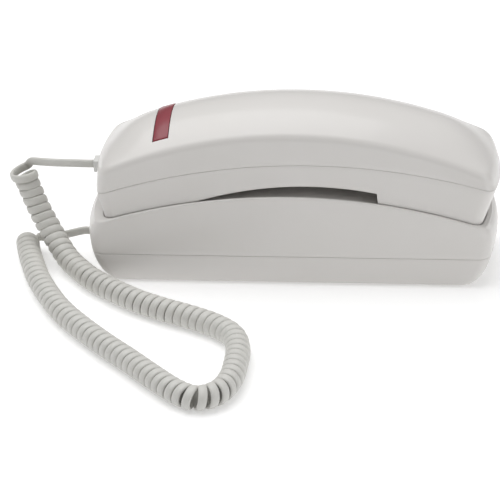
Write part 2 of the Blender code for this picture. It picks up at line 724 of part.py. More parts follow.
def handset_jack_x():
    """Just inside the end wall, at the jack's widest corners, where its foot and its top meet the wall."""
    drop = bulge_drop(HANDSET_WIDTH / 2, HANDSET_BULGE, JACK_WIDTH / 2)
    below_seam = seam_z(HANDSET_LEFT) - HANDSET_JACK_Z + JACK_HEIGHT / 2
    slant = LEFT_SLANT * max(below_seam, 0) / (seam_z(HANDSET_LEFT) - low_z(HANDSET_LEFT) - LOW_FILLET)
    near = HANDSET_LEFT + 2 * HANDSET_WALL
    over_wall = HANDSET_JACK_Z + JACK_HEIGHT / 2 + GAP - (top_z(near) - edge_drop(near))
    rounding = EDGE_INSET * min(max(over_wall, 0) / (EDGE_RISE - HANDSET_WALL), 1)
    return HANDSET_LEFT + max(TOP_DRAFT + rounding, slant) + HANDSET_WALL + drop + 3 * GAP


def make_plug(name, x_outer, z, parent=None):
    """A modular plug pushed in along +X until its outer face is at x_outer."""
    body = box((x_outer, -PLUG_WIDTH / 2, z - PLUG_HEIGHT / 2),
               (x_outer + PLUG_LENGTH, PLUG_WIDTH / 2, z + PLUG_HEIGHT / 2))
    bevel(add(name, body, "clear", parent), 0.5 * MM, 2)


# Handset

def handset_outline(level, inset=0.0):
    """Level 0 is the underside, 1 the seam and 2 the top."""
    below, above = max(1 - level, 0), max(level - 1, 0)
    left = HANDSET_LEFT + LEFT_SLANT * below + TOP_DRAFT * above + inset
    right = HANDSET_RIGHT - RIGHT_SLANT * below - TOP_DRAFT * above - inset
    half_width = HANDSET_WIDTH / 2 - TOP_DRAFT * above - inset
    shoulder = [SHOULDER_X + SHOULDER_LENGTH * k / 3 for k in range(4)]
    return outline(left, right, half_width, HANDSET_CORNER - inset, HANDSET_BULGE, SIDE_STEPS + 3, shoulder)


def highest(height, x, reach):
    """The highest point of a curved surface within this reach of x."""
    return max(height(x - reach), height(x), height(x + reach))


def make_front_shell(parent):
    seam = shifted(seam_z, -GAP / 2)
    rings = [ring(handset_outline(0, LOW_FILLET), low_z),
             ring(handset_outline(0, 0.3 * LOW_FILLET), shifted(low_z, 0.3 * LOW_FILLET)),
             ring(handset_outline(0), shifted(low_z, LOW_FILLET)),
             ring(handset_outline(1), seam),
             ring(handset_outline(1, HANDSET_WALL), seam),
             ring(handset_outline(0, HANDSET_WALL), shifted(low_z, HANDSET_WALL))]
    shell = add("handset_front_shell", loft("handset_front_shell", rings), "shell", parent)
    for cup in (MOUTH_CUP, EAR_CUP):
        outer = cup_block(cup, 0, shifted(seat_z, -CUP_DEPTH), shifted(seat_z, HANDSET_WALL / 2))
        boolean(shell, outer, "UNION")
        inner = cup_block(cup, -HANDSET_WALL, shifted(seat_z, HANDSET_WALL - CUP_DEPTH),
                          shifted(seat_z, 2 * HANDSET_WALL))
        boolean(shell, inner)
    window = arched_slab("window", KEYPAD_X - KEYPAD_HALF_LENGTH - GAP, KEYPAD_X + KEYPAD_HALF_LENGTH + GAP,
                         KEYPAD_HALF_WIDTH + GAP, -3 * MM, 2 * HANDSET_WALL)
    boolean(shell, window)
    holes = []
    for k in range(6):
        angle = math.pi * k / 3
        holes.append((EAR_CUP["x"] + 6 * MM * math.cos(angle), 6 * MM * math.sin(angle)))
    holes.append((EAR_CUP["x"], 0))
    holes += [(MOUTH_CUP["x"], y * MM) for y in (-5, 0, 5)]
    cutters = [cylinder(x, y, seat_z(x) - 2 * CUP_DEPTH, seat_z(x) - CUP_DEPTH + 2 * HANDSET_WALL, 1.3 * MM, 8)
               for x, y in holes]
    boolean(shell, joined(cutters))
    cut_screw_seats(shell, [(HANDSET_SCREW_X, y) for y in (-HANDSET_SCREW_Y, HANDSET_SCREW_Y)],
                    low_z(HANDSET_SCREW_X), 3 * HANDSET_WALL)
    boolean(shell, jack_opening(2 * HANDSET_LEFT, HANDSET_LEFT + END_WALL_REACH, HANDSET_JACK_Z))


def edge_drop(x):
    """The height of the rounding around the back, which leaves a band of wall above the seam."""
    return min(EDGE_RISE, top_z(x) - seam_z(x) - EDGE_BAND)


def make_back_shell(parent):
    seam = shifted(seam_z, GAP / 2)
    rings = []
    for k in range(3, -1, -1):
        turn = (math.pi / 2 - EDGE_SLOPE) * k / 3
        inset = EDGE_RADIUS * (1 - math.cos(turn))
        fall = 1 - math.sin(turn) / math.cos(EDGE_SLOPE)
        rings.append(ring(handset_outline(2, inset), lambda x, fall=fall: top_z(x) - fall * edge_drop(x)))
    rings += [ring(handset_outline(1), seam),
              ring(handset_outline(1, HANDSET_WALL), seam),
              ring(handset_outline(2, HANDSET_WALL), lambda x: top_z(x) - edge_drop(x)),
              ring(handset_outline(2, HANDSET_WALL + EDGE_INSET), shifted(top_z, -HANDSET_WALL))]
    shell = add("handset_back_shell", loft("handset_back_shell", rings, CROWN, CROWN), "shell", parent)
    for y in (-HANDSET_SCREW_Y, HANDSET_SCREW_Y):
        low = highest(low_z, HANDSET_SCREW_X, BOSS_RADIUS) + HANDSET_WALL + 2 * GAP
        high = back_z(HANDSET_SCREW_X - BOSS_RADIUS, abs(y) + BOSS_RADIUS) - HANDSET_WALL / 2
        boolean(shell, cylinder(HANDSET_SCREW_X, y, low, high, BOSS_RADIUS, 16), "UNION")
        boolean(shell, cylinder(HANDSET_SCREW_X, y, low - 5 * MM, low + SCREW_LENGTH, SCREW_RADIUS + GAP, 12))
    boolean(shell, lens_block(GAP, -2 * LENS_DEPTH, 4 * MM))
    boolean(shell, jack_opening(2 * HANDSET_LEFT, HANDSET_LEFT + END_WALL_REACH, HANDSET_JACK_Z))


def lens_block(grow, offset_low, offset_high):
    """A bar across the handset's back that follows its crown, between two heights from it."""
    bm = bmesh.new()
    half = LENS_WIDTH / 2 + grow
    steps = 8
    rows = []
    for x in (LENS_X - LENS_LENGTH / 2 - grow, LENS_X + LENS_LENGTH / 2 + grow):
        ys = [half * (2 * k / steps - 1) for k in range(steps + 1)]
        upper = [bm.verts.new((x, y, back_z(x, y) + offset_high)) for y in ys]
        lower = [bm.verts.new((x, y, back_z(x, y) + offset_low)) for y in reversed(ys)]
        rows.append(upper + lower)
        bm.faces.new(rows[-1])
    n = len(rows[0])
    for k in range(n):
        bm.faces.new((rows[0][k], rows[0][(k + 1) % n], rows[1][(k + 1) % n], rows[1][k]))
    return finished(bm, "lens")


def make_lens_and_lamp(parent):
    add("message_lens", lens_block(0, -LENS_DEPTH, LENS_PROUD), "lens", parent)
    high = back_z(LENS_X, 0) - LENS_DEPTH - 2 * GAP
    low = high - 6 * MM
    profile = [(0, high), (0.6 * LED_RADIUS, high - 0.3 * MM), (LED_RADIUS, high - LED_RADIUS),
               (LED_RADIUS, low + 1 * MM), (1.3 * LED_RADIUS, low + 1 * MM), (1.3 * LED_RADIUS, low), (0, low)]
    turned("message_led", profile, LENS_X, 0, "lens", 16, parent)


def key_places():
    """Each key's name and the middle of its place on the handset's underside."""
    places = []
    for row, names in enumerate(KEY_ROWS):
        x = KEYPAD_X + (2 - row) * KEY_PITCH_X
        for column, name in enumerate(names):
            if name:
                places.append((f"key_{name}", x, (column - 1) * KEY_PITCH_Y))
    return places


def key_frame(x, y):
    """The frame of a key: its local +Z goes into the handset, square to the underside."""
    slope = (low_z(x + MM) - low_z(x - MM)) / (2 * MM)
    return Matrix.Translation((x, y, low_z(x))) @ Matrix.Rotation(-math.atan(slope), 4, "Y")


def make_keypad(parent):
    plate_inner = PLATE_RECESS + PLATE_THICK
    steepest = math.asin((abs(KEYPAD_X - ARCH_X) + KEYPAD_HALF_LENGTH) / ARCH_RADIUS)
    plate = add("keypad_faceplate",
                arched_slab("plate", KEYPAD_X - KEYPAD_HALF_LENGTH, KEYPAD_X + KEYPAD_HALF_LENGTH,
                            KEYPAD_HALF_WIDTH, PLATE_RECESS, plate_inner), "faceplate", parent)
    openings = []
    lip_low = plate_inner + SLIDE_GAP
    for name, x, y in key_places():
        place = key_frame(x, y)
        hole = box_at((0, 0, PLATE_THICK / 2), (KEY_LENGTH + 2 * SLIDE_GAP, KEY_WIDTH + 2 * SLIDE_GAP, 4 * PLATE_THICK))
        hole.transform(place)
        openings.append(hole)
        body = box((-KEY_LENGTH / 2, -KEY_WIDTH / 2, KEY_RECESS), (KEY_LENGTH / 2, KEY_WIDTH / 2, lip_low + LIP_THICK))
        key = add(name, body, "key", parent)
        key.matrix_local = place
        lip = box_at((0, 0, lip_low + LIP_THICK / 2), (KEY_LENGTH + 2 * KEY_LIP, KEY_WIDTH + 2 * KEY_LIP, LIP_THICK))
        bevel(key, 0.8 * MM, 2)
        boolean(key, lip, "UNION")
        key.modifiers[-1].object.matrix_world = place
    boolean(plate, joined(openings))
    low = (lip_low + LIP_THICK + KEY_TRAVEL) / math.cos(steepest) + 2 * GAP
    membrane = arched_slab("membrane", KEYPAD_X - KEYPAD_HALF_LENGTH, KEYPAD_X + KEYPAD_HALF_LENGTH,
                           KEYPAD_HALF_WIDTH, low, low + MEMBRANE_THICK)
    add("keypad_membrane", membrane, "membrane", parent)
    board_low = max(low_z(ARCH_X), low_z(KEYPAD_X)) + low + MEMBRANE_THICK + GAP
    board = box_at((KEYPAD_X, 0, board_low + BOARD_THICK / 2),
                   (HANDSET_BOARD_LENGTH, HANDSET_BOARD_WIDTH, BOARD_THICK))
    add("handset_circuit_board", board, "board", parent)
    ballast = box_at((BALLAST_X, 0, board_low + BOARD_THICK + 8 * MM), BALLAST_SIZE)
    bevel(add("handset_ballast", ballast, "steel", parent), 1 * MM, 1)


def make_capsules(parent):
    for name, cup, radius, height, color in (("receiver_capsule", EAR_CUP, RECEIVER_RADIUS, RECEIVER_HEIGHT, "steel"),
                                             ("microphone", MOUTH_CUP, MICROPHONE_RADIUS, MICROPHONE_HEIGHT, "black")):
        nearest = min(abs(cup["x"] - radius), abs(cup["x"] + radius))
        low = seat_z(nearest) - CUP_DEPTH + HANDSET_WALL + GAP
        high = low + height
        profile = [(0, high), (0.7 * radius, high), (0.75 * radius, high - 1 * MM), (radius, high - 1 * MM),
                   (radius, low + 0.5 * MM), (radius - 0.5 * MM, low), (0, low)]
        turned(name, profile, cup["x"], 0, color, 32, parent)


# Cord

def route(points_mm):
    return [Vector(point) * MM for point in points_mm]


def make_cord(handset):
    handset_plug_x = HANDSET_LEFT - PLUG_PROUD
    base_plug_x = -BASE_LENGTH / 2 - PLUG_PROUD / 2
    make_plug("cord_plug_handset", handset_plug_x, HANDSET_JACK_Z, handset)
    make_plug("cord_plug_base", base_plug_x, BASE_JACK_Z)
    coil = route(COIL_ROUTE_MM)
    tube("cord_coil", smooth_route(coil, 14 * MM), COIL_RADIUS, "cord", 3)
    leave = Vector((handset_plug_x - GAP, 0, HANDSET_JACK_Z))
    tail = [leave, leave - Vector((5 * MM, 0, 0))] + route(HANDSET_TAIL_MM)
    tube("cord_tail_handset", smooth_route(tail, 6 * MM), TAIL_RADIUS, "cord", 2, handset)
    leave = Vector((base_plug_x - GAP, 0, BASE_JACK_Z))
    tail = route(BASE_TAIL_MM) + [leave - Vector((4 * MM, 0, 0)), leave]
    tube("cord_tail_base", smooth_route(tail, 6 * MM), TAIL_RADIUS, "cord", 2)


for old in list(bpy.data.objects):
    bpy.data.objects.remove(old)
PHONE = bpy.data.collections.new("slimline_wall_phone")
CUTTERS = bpy.data.collections.new("cutters")
bpy.context.scene.collection.children.link(PHONE)
bpy.context.scene.collection.children.link(CUTTERS)

HANDSET = bpy.data.objects.new("handset", None)
PHONE.objects.link(HANDSET)

make_base_housing()
make_base_plate()
make_feet_and_screws()
make_hook()
make_base_inside()
make_jack("base_handset_jack", base_jack_x(), BASE_JACK_Z)
make_front_shell(HANDSET)
make_back_shell(HANDSET)
make_lens_and_lamp(HANDSET)
make_keypad(HANDSET)
make_capsules(HANDSET)
make_jack("handset_jack", handset_jack_x(), HANDSET_JACK_Z, HANDSET)
for k, side in enumerate((-1, 1), 1):
    make_screw(f"handset_screw_{k}", HANDSET_SCREW_X, side * HANDSET_SCREW_Y,
               low_z(HANDSET_SCREW_X) + 0.1 * MM, "steel", HANDSET)
make_cord(HANDSET)
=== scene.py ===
"""Slimline wall phone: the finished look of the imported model, with its camera, light and floor.

Frame: metres, +Z up, +X towards the earpiece end; the base stands on the plane z = 0. The
covers repeat the CAD part's own surfaces with finer steps and softened edges.
"""

import math

import bmesh
import bpy
from mathutils import Matrix, Vector


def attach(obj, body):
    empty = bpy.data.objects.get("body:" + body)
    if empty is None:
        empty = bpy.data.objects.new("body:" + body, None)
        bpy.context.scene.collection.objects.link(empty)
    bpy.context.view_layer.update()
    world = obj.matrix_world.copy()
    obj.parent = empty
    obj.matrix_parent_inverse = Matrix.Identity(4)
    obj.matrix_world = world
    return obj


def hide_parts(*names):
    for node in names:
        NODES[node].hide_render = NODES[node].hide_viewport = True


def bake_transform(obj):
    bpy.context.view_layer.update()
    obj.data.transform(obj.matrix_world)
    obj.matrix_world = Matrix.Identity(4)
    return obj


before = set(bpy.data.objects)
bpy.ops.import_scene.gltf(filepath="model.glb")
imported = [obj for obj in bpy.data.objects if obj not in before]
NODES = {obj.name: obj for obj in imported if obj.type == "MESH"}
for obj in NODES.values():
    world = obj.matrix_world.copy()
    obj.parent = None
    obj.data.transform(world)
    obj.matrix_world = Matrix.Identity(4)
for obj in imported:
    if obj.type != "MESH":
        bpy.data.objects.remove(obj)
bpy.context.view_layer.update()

MM = 0.001
GAP = 0.3 * MM
SLIDE_GAP = 0.4 * MM

# Base, with the sizes of the CAD part
BASE_LENGTH = 219 * MM
BASE_WIDTH = 62 * MM
BASE_WALL = 2.4 * MM
BASE_CORNER = 6.5 * MM
BASE_BULGE = 4 * MM  # of each end, seen from above
BASE_PART_Z = 18 * MM  # the seam between tub and housing
BELLY_Z = 27 * MM  # where the base is longest
END_TUCK = 14.4 * MM  # how far the ends draw in from the belly to the table
END_LEAN = 2.6 * MM  # the same, from the belly to the rim
SIDE_TUCK = 2.6 * MM  # how far the long sides draw in towards the table
RIM_APEX_Z = 53.1 * MM
RIM_RADIUS = 320 * MM  # of the arched deck
RIM_FILLET = 1.0 * MM
DECK_RECESS = 1.6 * MM  # of the cradle that the handset lies in
CRADLE_CLEARANCE = 0.5 * MM
FOOT_PROUD = 1.2 * MM
FOOT_EDGE = 0.8 * MM  # height of the rounding along the tub's lowest edge
FOOT_RECESS = 0.9 * MM
FOOT_RADIUS = 5 * MM
FOOT_X = 80 * MM
FOOT_Y = 19 * MM
KEYHOLE_X = 66 * MM
KEYHOLE_RADIUS = 4.2 * MM
KEYHOLE_SLOT_LENGTH = 9 * MM
KEYHOLE_SLOT_HALF_WIDTH = 2.1 * MM
SCREW_X = 48 * MM
SCREW_Y = 21.5 * MM
HEAD_RADIUS = 2.8 * MM
HEAD_HEIGHT = 1.1 * MM
PLUNGER_X = 61 * MM
PLUNGER_RADIUS = 3.6 * MM
PLUNGER_HOLE_DEPTH = 6 * MM
SLIDER_X = -62 * MM
SLIDER_Z = 26 * MM
SLIDER_LENGTH = 6 * MM
SLIDER_HEIGHT = 3 * MM
SLIDER_TRAVEL = 4 * MM
LINE_JACK_X = -22.1 * MM
LINE_JACK_Z = 9.2 * MM
LINE_SOCKET_WIDTH = 10 * MM
LINE_SOCKET_HEIGHT = 7 * MM
BASE_JACK_Z = 15.5 * MM
CUTTER_REACH = 5 * MM  # how far a cutter goes past the surface that it opens

# Handset
HANDSET_LEFT = -104.3 * MM
HANDSET_RIGHT = 110.5 * MM
HANDSET_WIDTH = 58.6 * MM
HANDSET_WALL = 2.2 * MM
HANDSET_CORNER = 7 * MM
HANDSET_BULGE = 4 * MM
LEFT_SLANT = 3.2 * MM  # how far the mouthpiece end draws in from the seam to the deck
RIGHT_SLANT = 6.4 * MM  # the same at the earpiece end
TOP_DRAFT = 0.8 * MM
END_WALL_REACH = LEFT_SLANT + 2 * HANDSET_WALL
SEAT_GAP = 0.6 * MM
LOW_FILLET = 1.2 * MM
EDGE_RADIUS = 6 * MM  # of the rounding around the back
EDGE_SLOPE = math.radians(33)  # of the back, where its crown meets the rounding
EDGE_INSET = EDGE_RADIUS * (1 - math.sin(EDGE_SLOPE))
EDGE_RISE = EDGE_RADIUS * math.cos(EDGE_SLOPE)
EDGE_BAND = 1.6 * MM  # least height of wall between the seam and the rounding
ARCH_APEX_Z = 58.6 * MM
ARCH_X = 10 * MM
ARCH_RADIUS = 180 * MM
SHOULDER_X = 46.2 * MM  # where the underside drops to the earpiece
SHOULDER_LENGTH = 0.9 * MM
SEAM_APEX_Z = 71.2 * MM
SEAM_X = 10 * MM
SEAM_RADIUS = 332 * MM
TOP_APEX_Z = 88.7 * MM
TOP_X = 2 * MM
TOP_RADIUS = 238 * MM
CUP_DEPTH = 5 * MM
CUP_CLEARANCE = 1 * MM
CUP_CORNER = 9 * MM
CUP_BULGE_SHARE = 0.12  # of a cup's half length
SOUND_HOLE_RADIUS = 1.3 * MM
EAR_RING_RADIUS = 6 * MM
MOUTH_HOLE_PITCH = 5 * MM
MOUTH_CUP = {"x": -79 * MM, "half_length": 13.5 * MM, "half_width": 21 * MM}
EAR_CUP = {"x": 76 * MM, "half_length": 20 * MM, "half_width": 22 * MM}

# Handset fittings
KEYPAD_X = -3 * MM
KEYPAD_HALF_LENGTH = 36 * MM
KEYPAD_HALF_WIDTH = 22.5 * MM
KEYPAD_CUT_PROUD = 3 * MM
KEY_PITCH_X = 13.5 * MM
KEY_PITCH_Y = 14 * MM
KEY_RECESS = 0.2 * MM
KEY_LABELS = (("1", "2", "3"), ("4", "5", "6"), ("7", "8", "9"), ("*", "0", "#"))
KEY_NAMES = {"*": "star", "#": "pound"}
DIGIT_SIZE = 6 * MM
SIGN_SIZE = 7 * MM
PRINT_HALF_THICKNESS = 0.03 * MM
PRINT_SINK = 0.02 * MM
LENS_X = -67 * MM
LENS_LENGTH = 8 * MM
LENS_WIDTH = 41.94 * MM
LENS_DEPTH = 3.4 * MM
LENS_PROUD = 0.3 * MM
LENS_CUT_PROUD = 4 * MM
LENS_EASE = 0.5 * MM
PLUG_WIDTH = 7.7 * MM
PLUG_HEIGHT = 6.6 * MM
PLUG_PROUD = 2 * MM
HANDSET_JACK_Z = 56.3 * MM
HANDSET_SCREW_X = -53 * MM
HANDSET_SCREW_Y = 15 * MM

# Cord
COIL_ROUTE = (
    (-.1463, .0048, .0490), (-.1445, .0042, .0430), (-.1420, .0030, .0365), (-.1378, .0000, .0275),
    (-.1327, -.0040, .0194), (-.1268, -.0105, .0125), (-.1205, -.0190, .0082), (-.1132, -.0280, .0067),
    (-.1050, -.0380, .0066), (-.0952, -.0470, .0066), (-.0854, -.0550, .0066), (-.0750, -.0623, .0066),
    (-.0614, -.0698, .0066), (-.0470, -.0768, .0066), (-.0335, -.0850, .0066), (-.0240, -.0950, .0066),
    (-.0204, -.1080, .0066), (-.0202, -.1220, .0066), (-.0215, -.1365, .0066), (-.0265, -.1490, .0066),
    (-.0365, -.1546, .0066), (-.0470, -.1490, .0066), (-.0600, -.1360, .0066), (-.0735, -.1213, .0066),
    (-.0900, -.1040, .0066), (-.1060, -.0855, .0066), (-.1175, -.0700, .0066), (-.1265, -.0540, .0066),
    (-.1340, -.0380, .0066), (-.1400, -.0210, .0066), (-.1443, -.0070, .0066), (-.1470, .0042, .0066),
)
HANDSET_TAIL = ((-.1180, .0005, .0562), (-.1300, .0025, .0554), (-.1408, .0070, .0538))
BASE_TAIL = ((-.1330, .0024, .0092), (-.1255, .0008, .0122))
CORD_WIDTH = 4.6 * MM
CORD_THICK = 2.3 * MM
WIND_RADIUS = 5.3 * MM  # of the cord's middle line around the coil's axis
FLARE = 1.5 * MM  # more radius in the first turn
FLARE_LENGTH = 7 * MM
PITCH = 4.95 * MM  # from turn to turn along the coil's axis
POINTS_PER_TURN = 20
COIL_SPACING = 0.4 * MM  # between points of the coil's axis
TAIL_SPACING = 1.2 * MM
HANDSET_EXIT_LENGTH = 5 * MM  # straight run of cord out of the handset's plug
BASE_EXIT_LENGTH = 4 * MM
HANDSET_JOINT_STEPS = 12
BASE_JOINT_STEPS = 14
TURN_IN_SHARE = 0.7  # part of the last run over which the strip turns level
SECTION_POINTS = 14
SECTION_SQUARENESS = (0.75, 0.85)  # exponents below 1 make the strip's section boxier

# Mesh fineness
END_STEPS = 8
CORNER_STEPS = 8
SIDE_STEPS = 20
CUP_SIDE_STEPS = 6
ACROSS_STEPS = 14
FILLET_STEPS = 6
SHOULDER_STEPS = 8
HANDSET_SIDE_STEPS = 40
LENS_STEPS = 24
SLAB_STEPS = 24
HOUSING_LEVELS = 12
HOUSING_TOP_SHARE = 0.96  # share of the wall's height where its levels would end
TUB_LEVELS = 10
FRONT_LEVELS = 5
BACK_LEVELS = 4
SEAM_EASE_STEP = 0.3  # share of the rounding at its middle ring
SHARP_ANGLE = math.radians(32)
EASE_ANGLE = math.radians(40)
SEAM_GAP = 0.12 * MM  # between the covers at both seams
SEAM_EASE = 0.2 * MM  # rounding of the edges along both seams

# Stage
FLOOR_HALF_SIZE = 6
FLOOR_WHITE = 0.86
FLOOR_GLOW = 0.3
SKY_HORIZON = 0.05
SKY_ZENITH = 0.52
SKY_ZENITH_HEIGHT = 0.9  # of a direction's unit vector
SKY_FRONT = 0.4  # share of that in front of the object; the rest is behind it
LIGHT_TARGET = (0, 0, 0.05)
CAMERA_TARGET = (0, 0, 0.045)
CAMERA_DISTANCE = 1.3
CAMERA_ELEVATION = math.radians(27)
CAMERA_YAW = math.radians(4.86)
CAMERA_ROLL = math.radians(-1.40)
CAMERA_LENS = 175
AIM_RIGHT = -42.5 / 2430  # from the middle of the object to the middle of the picture
AIM_DOWN = 65 / 2430


# Heights of the curved surfaces

def sag(distance, radius):
    return radius - math.sqrt(radius * radius - distance * distance)


def rim_z(x):
    return RIM_APEX_Z - sag(x, RIM_RADIUS)


def deck_z(x):
    return rim_z(x) - DECK_RECESS


def seat_z(x):
    return deck_z(x) + SEAT_GAP


def smoothstep(t):
    t = min(max(t, 0.0), 1.0)
    return t * t * (3 - 2 * t)


def low_z(x):
    arch = ARCH_APEX_Z - sag(x - ARCH_X, ARCH_RADIUS)
    lifted = max(arch - seat_z(x), 0.0) * (1 - smoothstep((x - SHOULDER_X) / SHOULDER_LENGTH))
    return seat_z(x) + lifted


def seam_z(x):
    return SEAM_APEX_Z - sag(x - SEAM_X, SEAM_RADIUS)


def top_z(x):
    return TOP_APEX_Z - sag(x - TOP_X, TOP_RADIUS)


CROWN_HALF_WIDTH = HANDSET_WIDTH / 2 - TOP_DRAFT - EDGE_INSET
CROWN = CROWN_HALF_WIDTH * math.tan(EDGE_SLOPE) / 2


def back_z(x, y):
    return top_z(x) + CROWN * (1 - (y / CROWN_HALF_WIDTH) ** 2)


def shifted(height, dz):
    return lambda x: height(x) + dz


# Mesh building

def placed(name, data):
    """A new object in the scene with this data."""
    made = bpy.data.objects.new(name, data)
    bpy.context.scene.collection.objects.link(made)
    return made


def outline(left, right, half_width, corner, bulge, side_steps=SIDE_STEPS, stations=()):
    """A closed plan with bulged ends and rounded corners, from the middle of the right end."""
    middle, half = (left + right) / 2, (right - left) / 2
    corner = min(max(corner, 0.5 * MM), 0.9 * half_width)
    arc = (half_width ** 2 + bulge ** 2) / (2 * bulge)
    reach = math.asin((half_width - corner) / (arc - corner))
    corner_x = half - arc + (arc - corner) * math.cos(reach)
    end = []
    for k in range(END_STEPS):
        turn = reach * k / END_STEPS
        end.append((half - arc + arc * math.cos(turn), arc * math.sin(turn)))
    for k in range(CORNER_STEPS):
        turn = reach + (math.pi / 2 - reach) * k / CORNER_STEPS
        end.append((corner_x + corner * math.cos(turn),
                    half_width - corner + corner * math.sin(turn)))
    side = [corner_x * (1 - k / side_steps) for k in range(2 * side_steps + 1)]
    side += [x - middle for x in stations]
    upper = end + [(x, half_width) for x in sorted(side, reverse=True)]
    upper += [(-x, y) for x, y in reversed(end)]
    lower = [(x, -y) for x, y in reversed(upper[1:-1])]
    return [(middle + x, y) for x, y in upper + lower]


def ring(points, height):
    return [Vector((x, y, height(x))) for x, y in points]


def end_distance(loop):
    """A function that says how far a point of the ring's plan is from its nearer end, along X."""
    half = [v.co for v in loop[:len(loop) // 2 + 1]]
    middle = (half[0].x + half[-1].x) / 2
    right = [p for p in half if p.x > middle]
    left = [p for p in reversed(half) if p.x <= middle]

    def end_x(side, y):
        for a, b in zip(side, side[1:]):
            if b.y >= y and b.y > a.y:
                return a.x + (b.x - a.x) * (y - a.y) / (b.y - a.y)
        return side[-1].x

    return lambda x, y: min(end_x(right, abs(y)) - x, x - end_x(left, abs(y)))


def cap(bm, loop, crown):
    """Closes a ring with a grid, raised by crown along its middle and easing to both ends."""
    n = len(loop)
    widest = max(v.co.y for v in loop)
    distance = end_distance(loop)
    columns = []
    for k in range(n // 2 + 1):
        near, far = loop[k], loop[(n - k) % n]
        if near is far:
            columns.append([near])
            continue
        column = [near]
        for j in range(1, ACROSS_STEPS):
            y = near.co.y * (1 - 2 * j / ACROSS_STEPS)
            run_in = max(1 - distance(near.co.x, y) / widest, 0)
            rise = crown * (1 - (y / widest) ** 2) * (1 - run_in ** 2)
            column.append(bm.verts.new((near.co.x, y, near.co.z + rise)))
        columns.append(column + [far])
    for left, right in zip(columns, columns[1:]):
        for j in range(ACROSS_STEPS):
            corners = [left[min(j, len(left) - 1)], left[min(j + 1, len(left) - 1)]]
            corners += [right[min(j + 1, len(right) - 1)], right[min(j, len(right) - 1)]]
            bm.faces.new(list(dict.fromkeys(corners)))


def finished(bm, name):
    bmesh.ops.recalc_face_normals(bm, faces=bm.faces)
    mesh = bpy.data.meshes.new(name)
    bm.to_mesh(mesh)
    bm.free()
    return mesh


def loft(name, rings, crown_first=0.0, crown_last=0.0):
    """A closed body skinned over rings of equal length, with a cap on the first and the last."""
    bm = bmesh.new()
    loops = [[bm.verts.new(point) for point in points] for points in rings]
    n = len(loops[0])
    for one, two in zip(loops, loops[1:]):
        for k in range(n):
            bm.faces.new((one[k], one[(k + 1) % n], two[(k + 1) % n], two[k]))
    cap(bm, loops[0], crown_first)
    cap(bm, loops[-1], crown_last)
    return finished(bm, name)


def box(low, high):
    bm = bmesh.new()
    bmesh.ops.create_cube(bm, size=1)
    for v in bm.verts:
        v.co = Vector([(a + b) / 2 + c * (b - a) for a, b, c in zip(low, high, v.co)])
    return finished(bm, "box")


def box_at(center, size):
    return box([c - s / 2 for c, s in zip(center, size)], [c + s / 2 for c, s in zip(center, size)])


def cylinder(x, y, z_low, z_high, radius, sides=32):
    bm = bmesh.new()
    place = Matrix.Translation((x, y, (z_low + z_high) / 2))
    bmesh.ops.create_cone(bm, cap_ends=True, segments=sides, radius1=radius, radius2=radius,
                          depth=z_high - z_low, matrix=place)
    return finished(bm, "cylinder")


def joined(meshes):
    bm = bmesh.new()
    for mesh in meshes:
        bm.from_mesh(mesh)
    return finished(bm, "joined")


def profile_block(name, points, half_width):
    bm = bmesh.new()
    face = bm.faces.new([bm.verts.new((x, -half_width, z)) for x, z in points])
    grown = bmesh.ops.extrude_face_region(bm, geom=[face])
    for item in grown["geom"]:
        if isinstance(item, bmesh.types.BMVert):
            item.co.y = half_width
    return finished(bm, name)


def arched_slab(name, left, right, half_width, offset_low, offset_high):
    """A block between two heights from the handset's arched underside."""
    stations = [left + (right - left) * k / SLAB_STEPS for k in range(SLAB_STEPS + 1)]
    lower = [(x, low_z(x) + offset_low) for x in stations]
    upper = [(x, low_z(x) + offset_high) for x in reversed(stations)]
    return profile_block(name, lower + upper, half_width)


def applied(piece):
    """The piece's mesh with its modifiers applied."""
    graph = bpy.context.evaluated_depsgraph_get()
    return bpy.data.meshes.new_from_object(piece.evaluated_get(graph))


def carved(name, mesh, changes, ease=0.0):
    """A piece made of a mesh and its boolean changes, with its sharp edges eased if asked."""
    piece = placed(name, mesh)
    tools = []
    for operation, other in changes:
        tool = placed("tool", other)
        tools.append(tool)
        change = piece.modifiers.new("change", "BOOLEAN")
        change.operation = operation
        change.solver = "EXACT"
        change.object = tool
    if ease:
        bevel = piece.modifiers.new("ease", "BEVEL")
        bevel.width = ease
        bevel.segments = 2
        bevel.limit_method = "ANGLE"
        bevel.angle_limit = EASE_ANGLE
    bpy.context.view_layer.update()
    made = applied(piece)
    piece.modifiers.clear()
    piece.data = made
    made.name = name
    for tool in tools:
        bpy.data.objects.remove(tool)
    made.materials.clear()
    made.shade_smooth()
    made.set_sharp_from_angle(angle=SHARP_ANGLE)
    return piece


def dress(piece, body, material, replaces=()):
    """Gives a piece its material, the body it rides on and the CAD nodes it stands for."""
    piece.data.materials.clear()
    piece.data.materials.append(material)
    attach(piece, body)
    if replaces:
        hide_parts(*replaces)
    return piece


# Materials

def link(tree, source, output, target, entry):
    tree.links.new(source.outputs[output], target.inputs[entry])


def noise(tree, coords, scale, detail=3.0, roughness=0.5):
    node = tree.nodes.new("ShaderNodeTexNoise")
    node.inputs["Scale"].default_value = scale
    node.inputs["Detail"].default_value = detail
    node.inputs["Roughness"].default_value = roughness
    link(tree, coords, "Object", node, "Vector")
    return node


def spread(tree, source, low, high):
    """A noise's values mapped to a range."""
    node = tree.nodes.new("ShaderNodeMapRange")
    node.inputs["From Min"].default_value = 0.3
    node.inputs["From Max"].default_value = 0.7
    node.inputs["To Min"].default_value = low
    node.inputs["To Max"].default_value = high
    link(tree, source, "Fac", node, "Value")
    return node


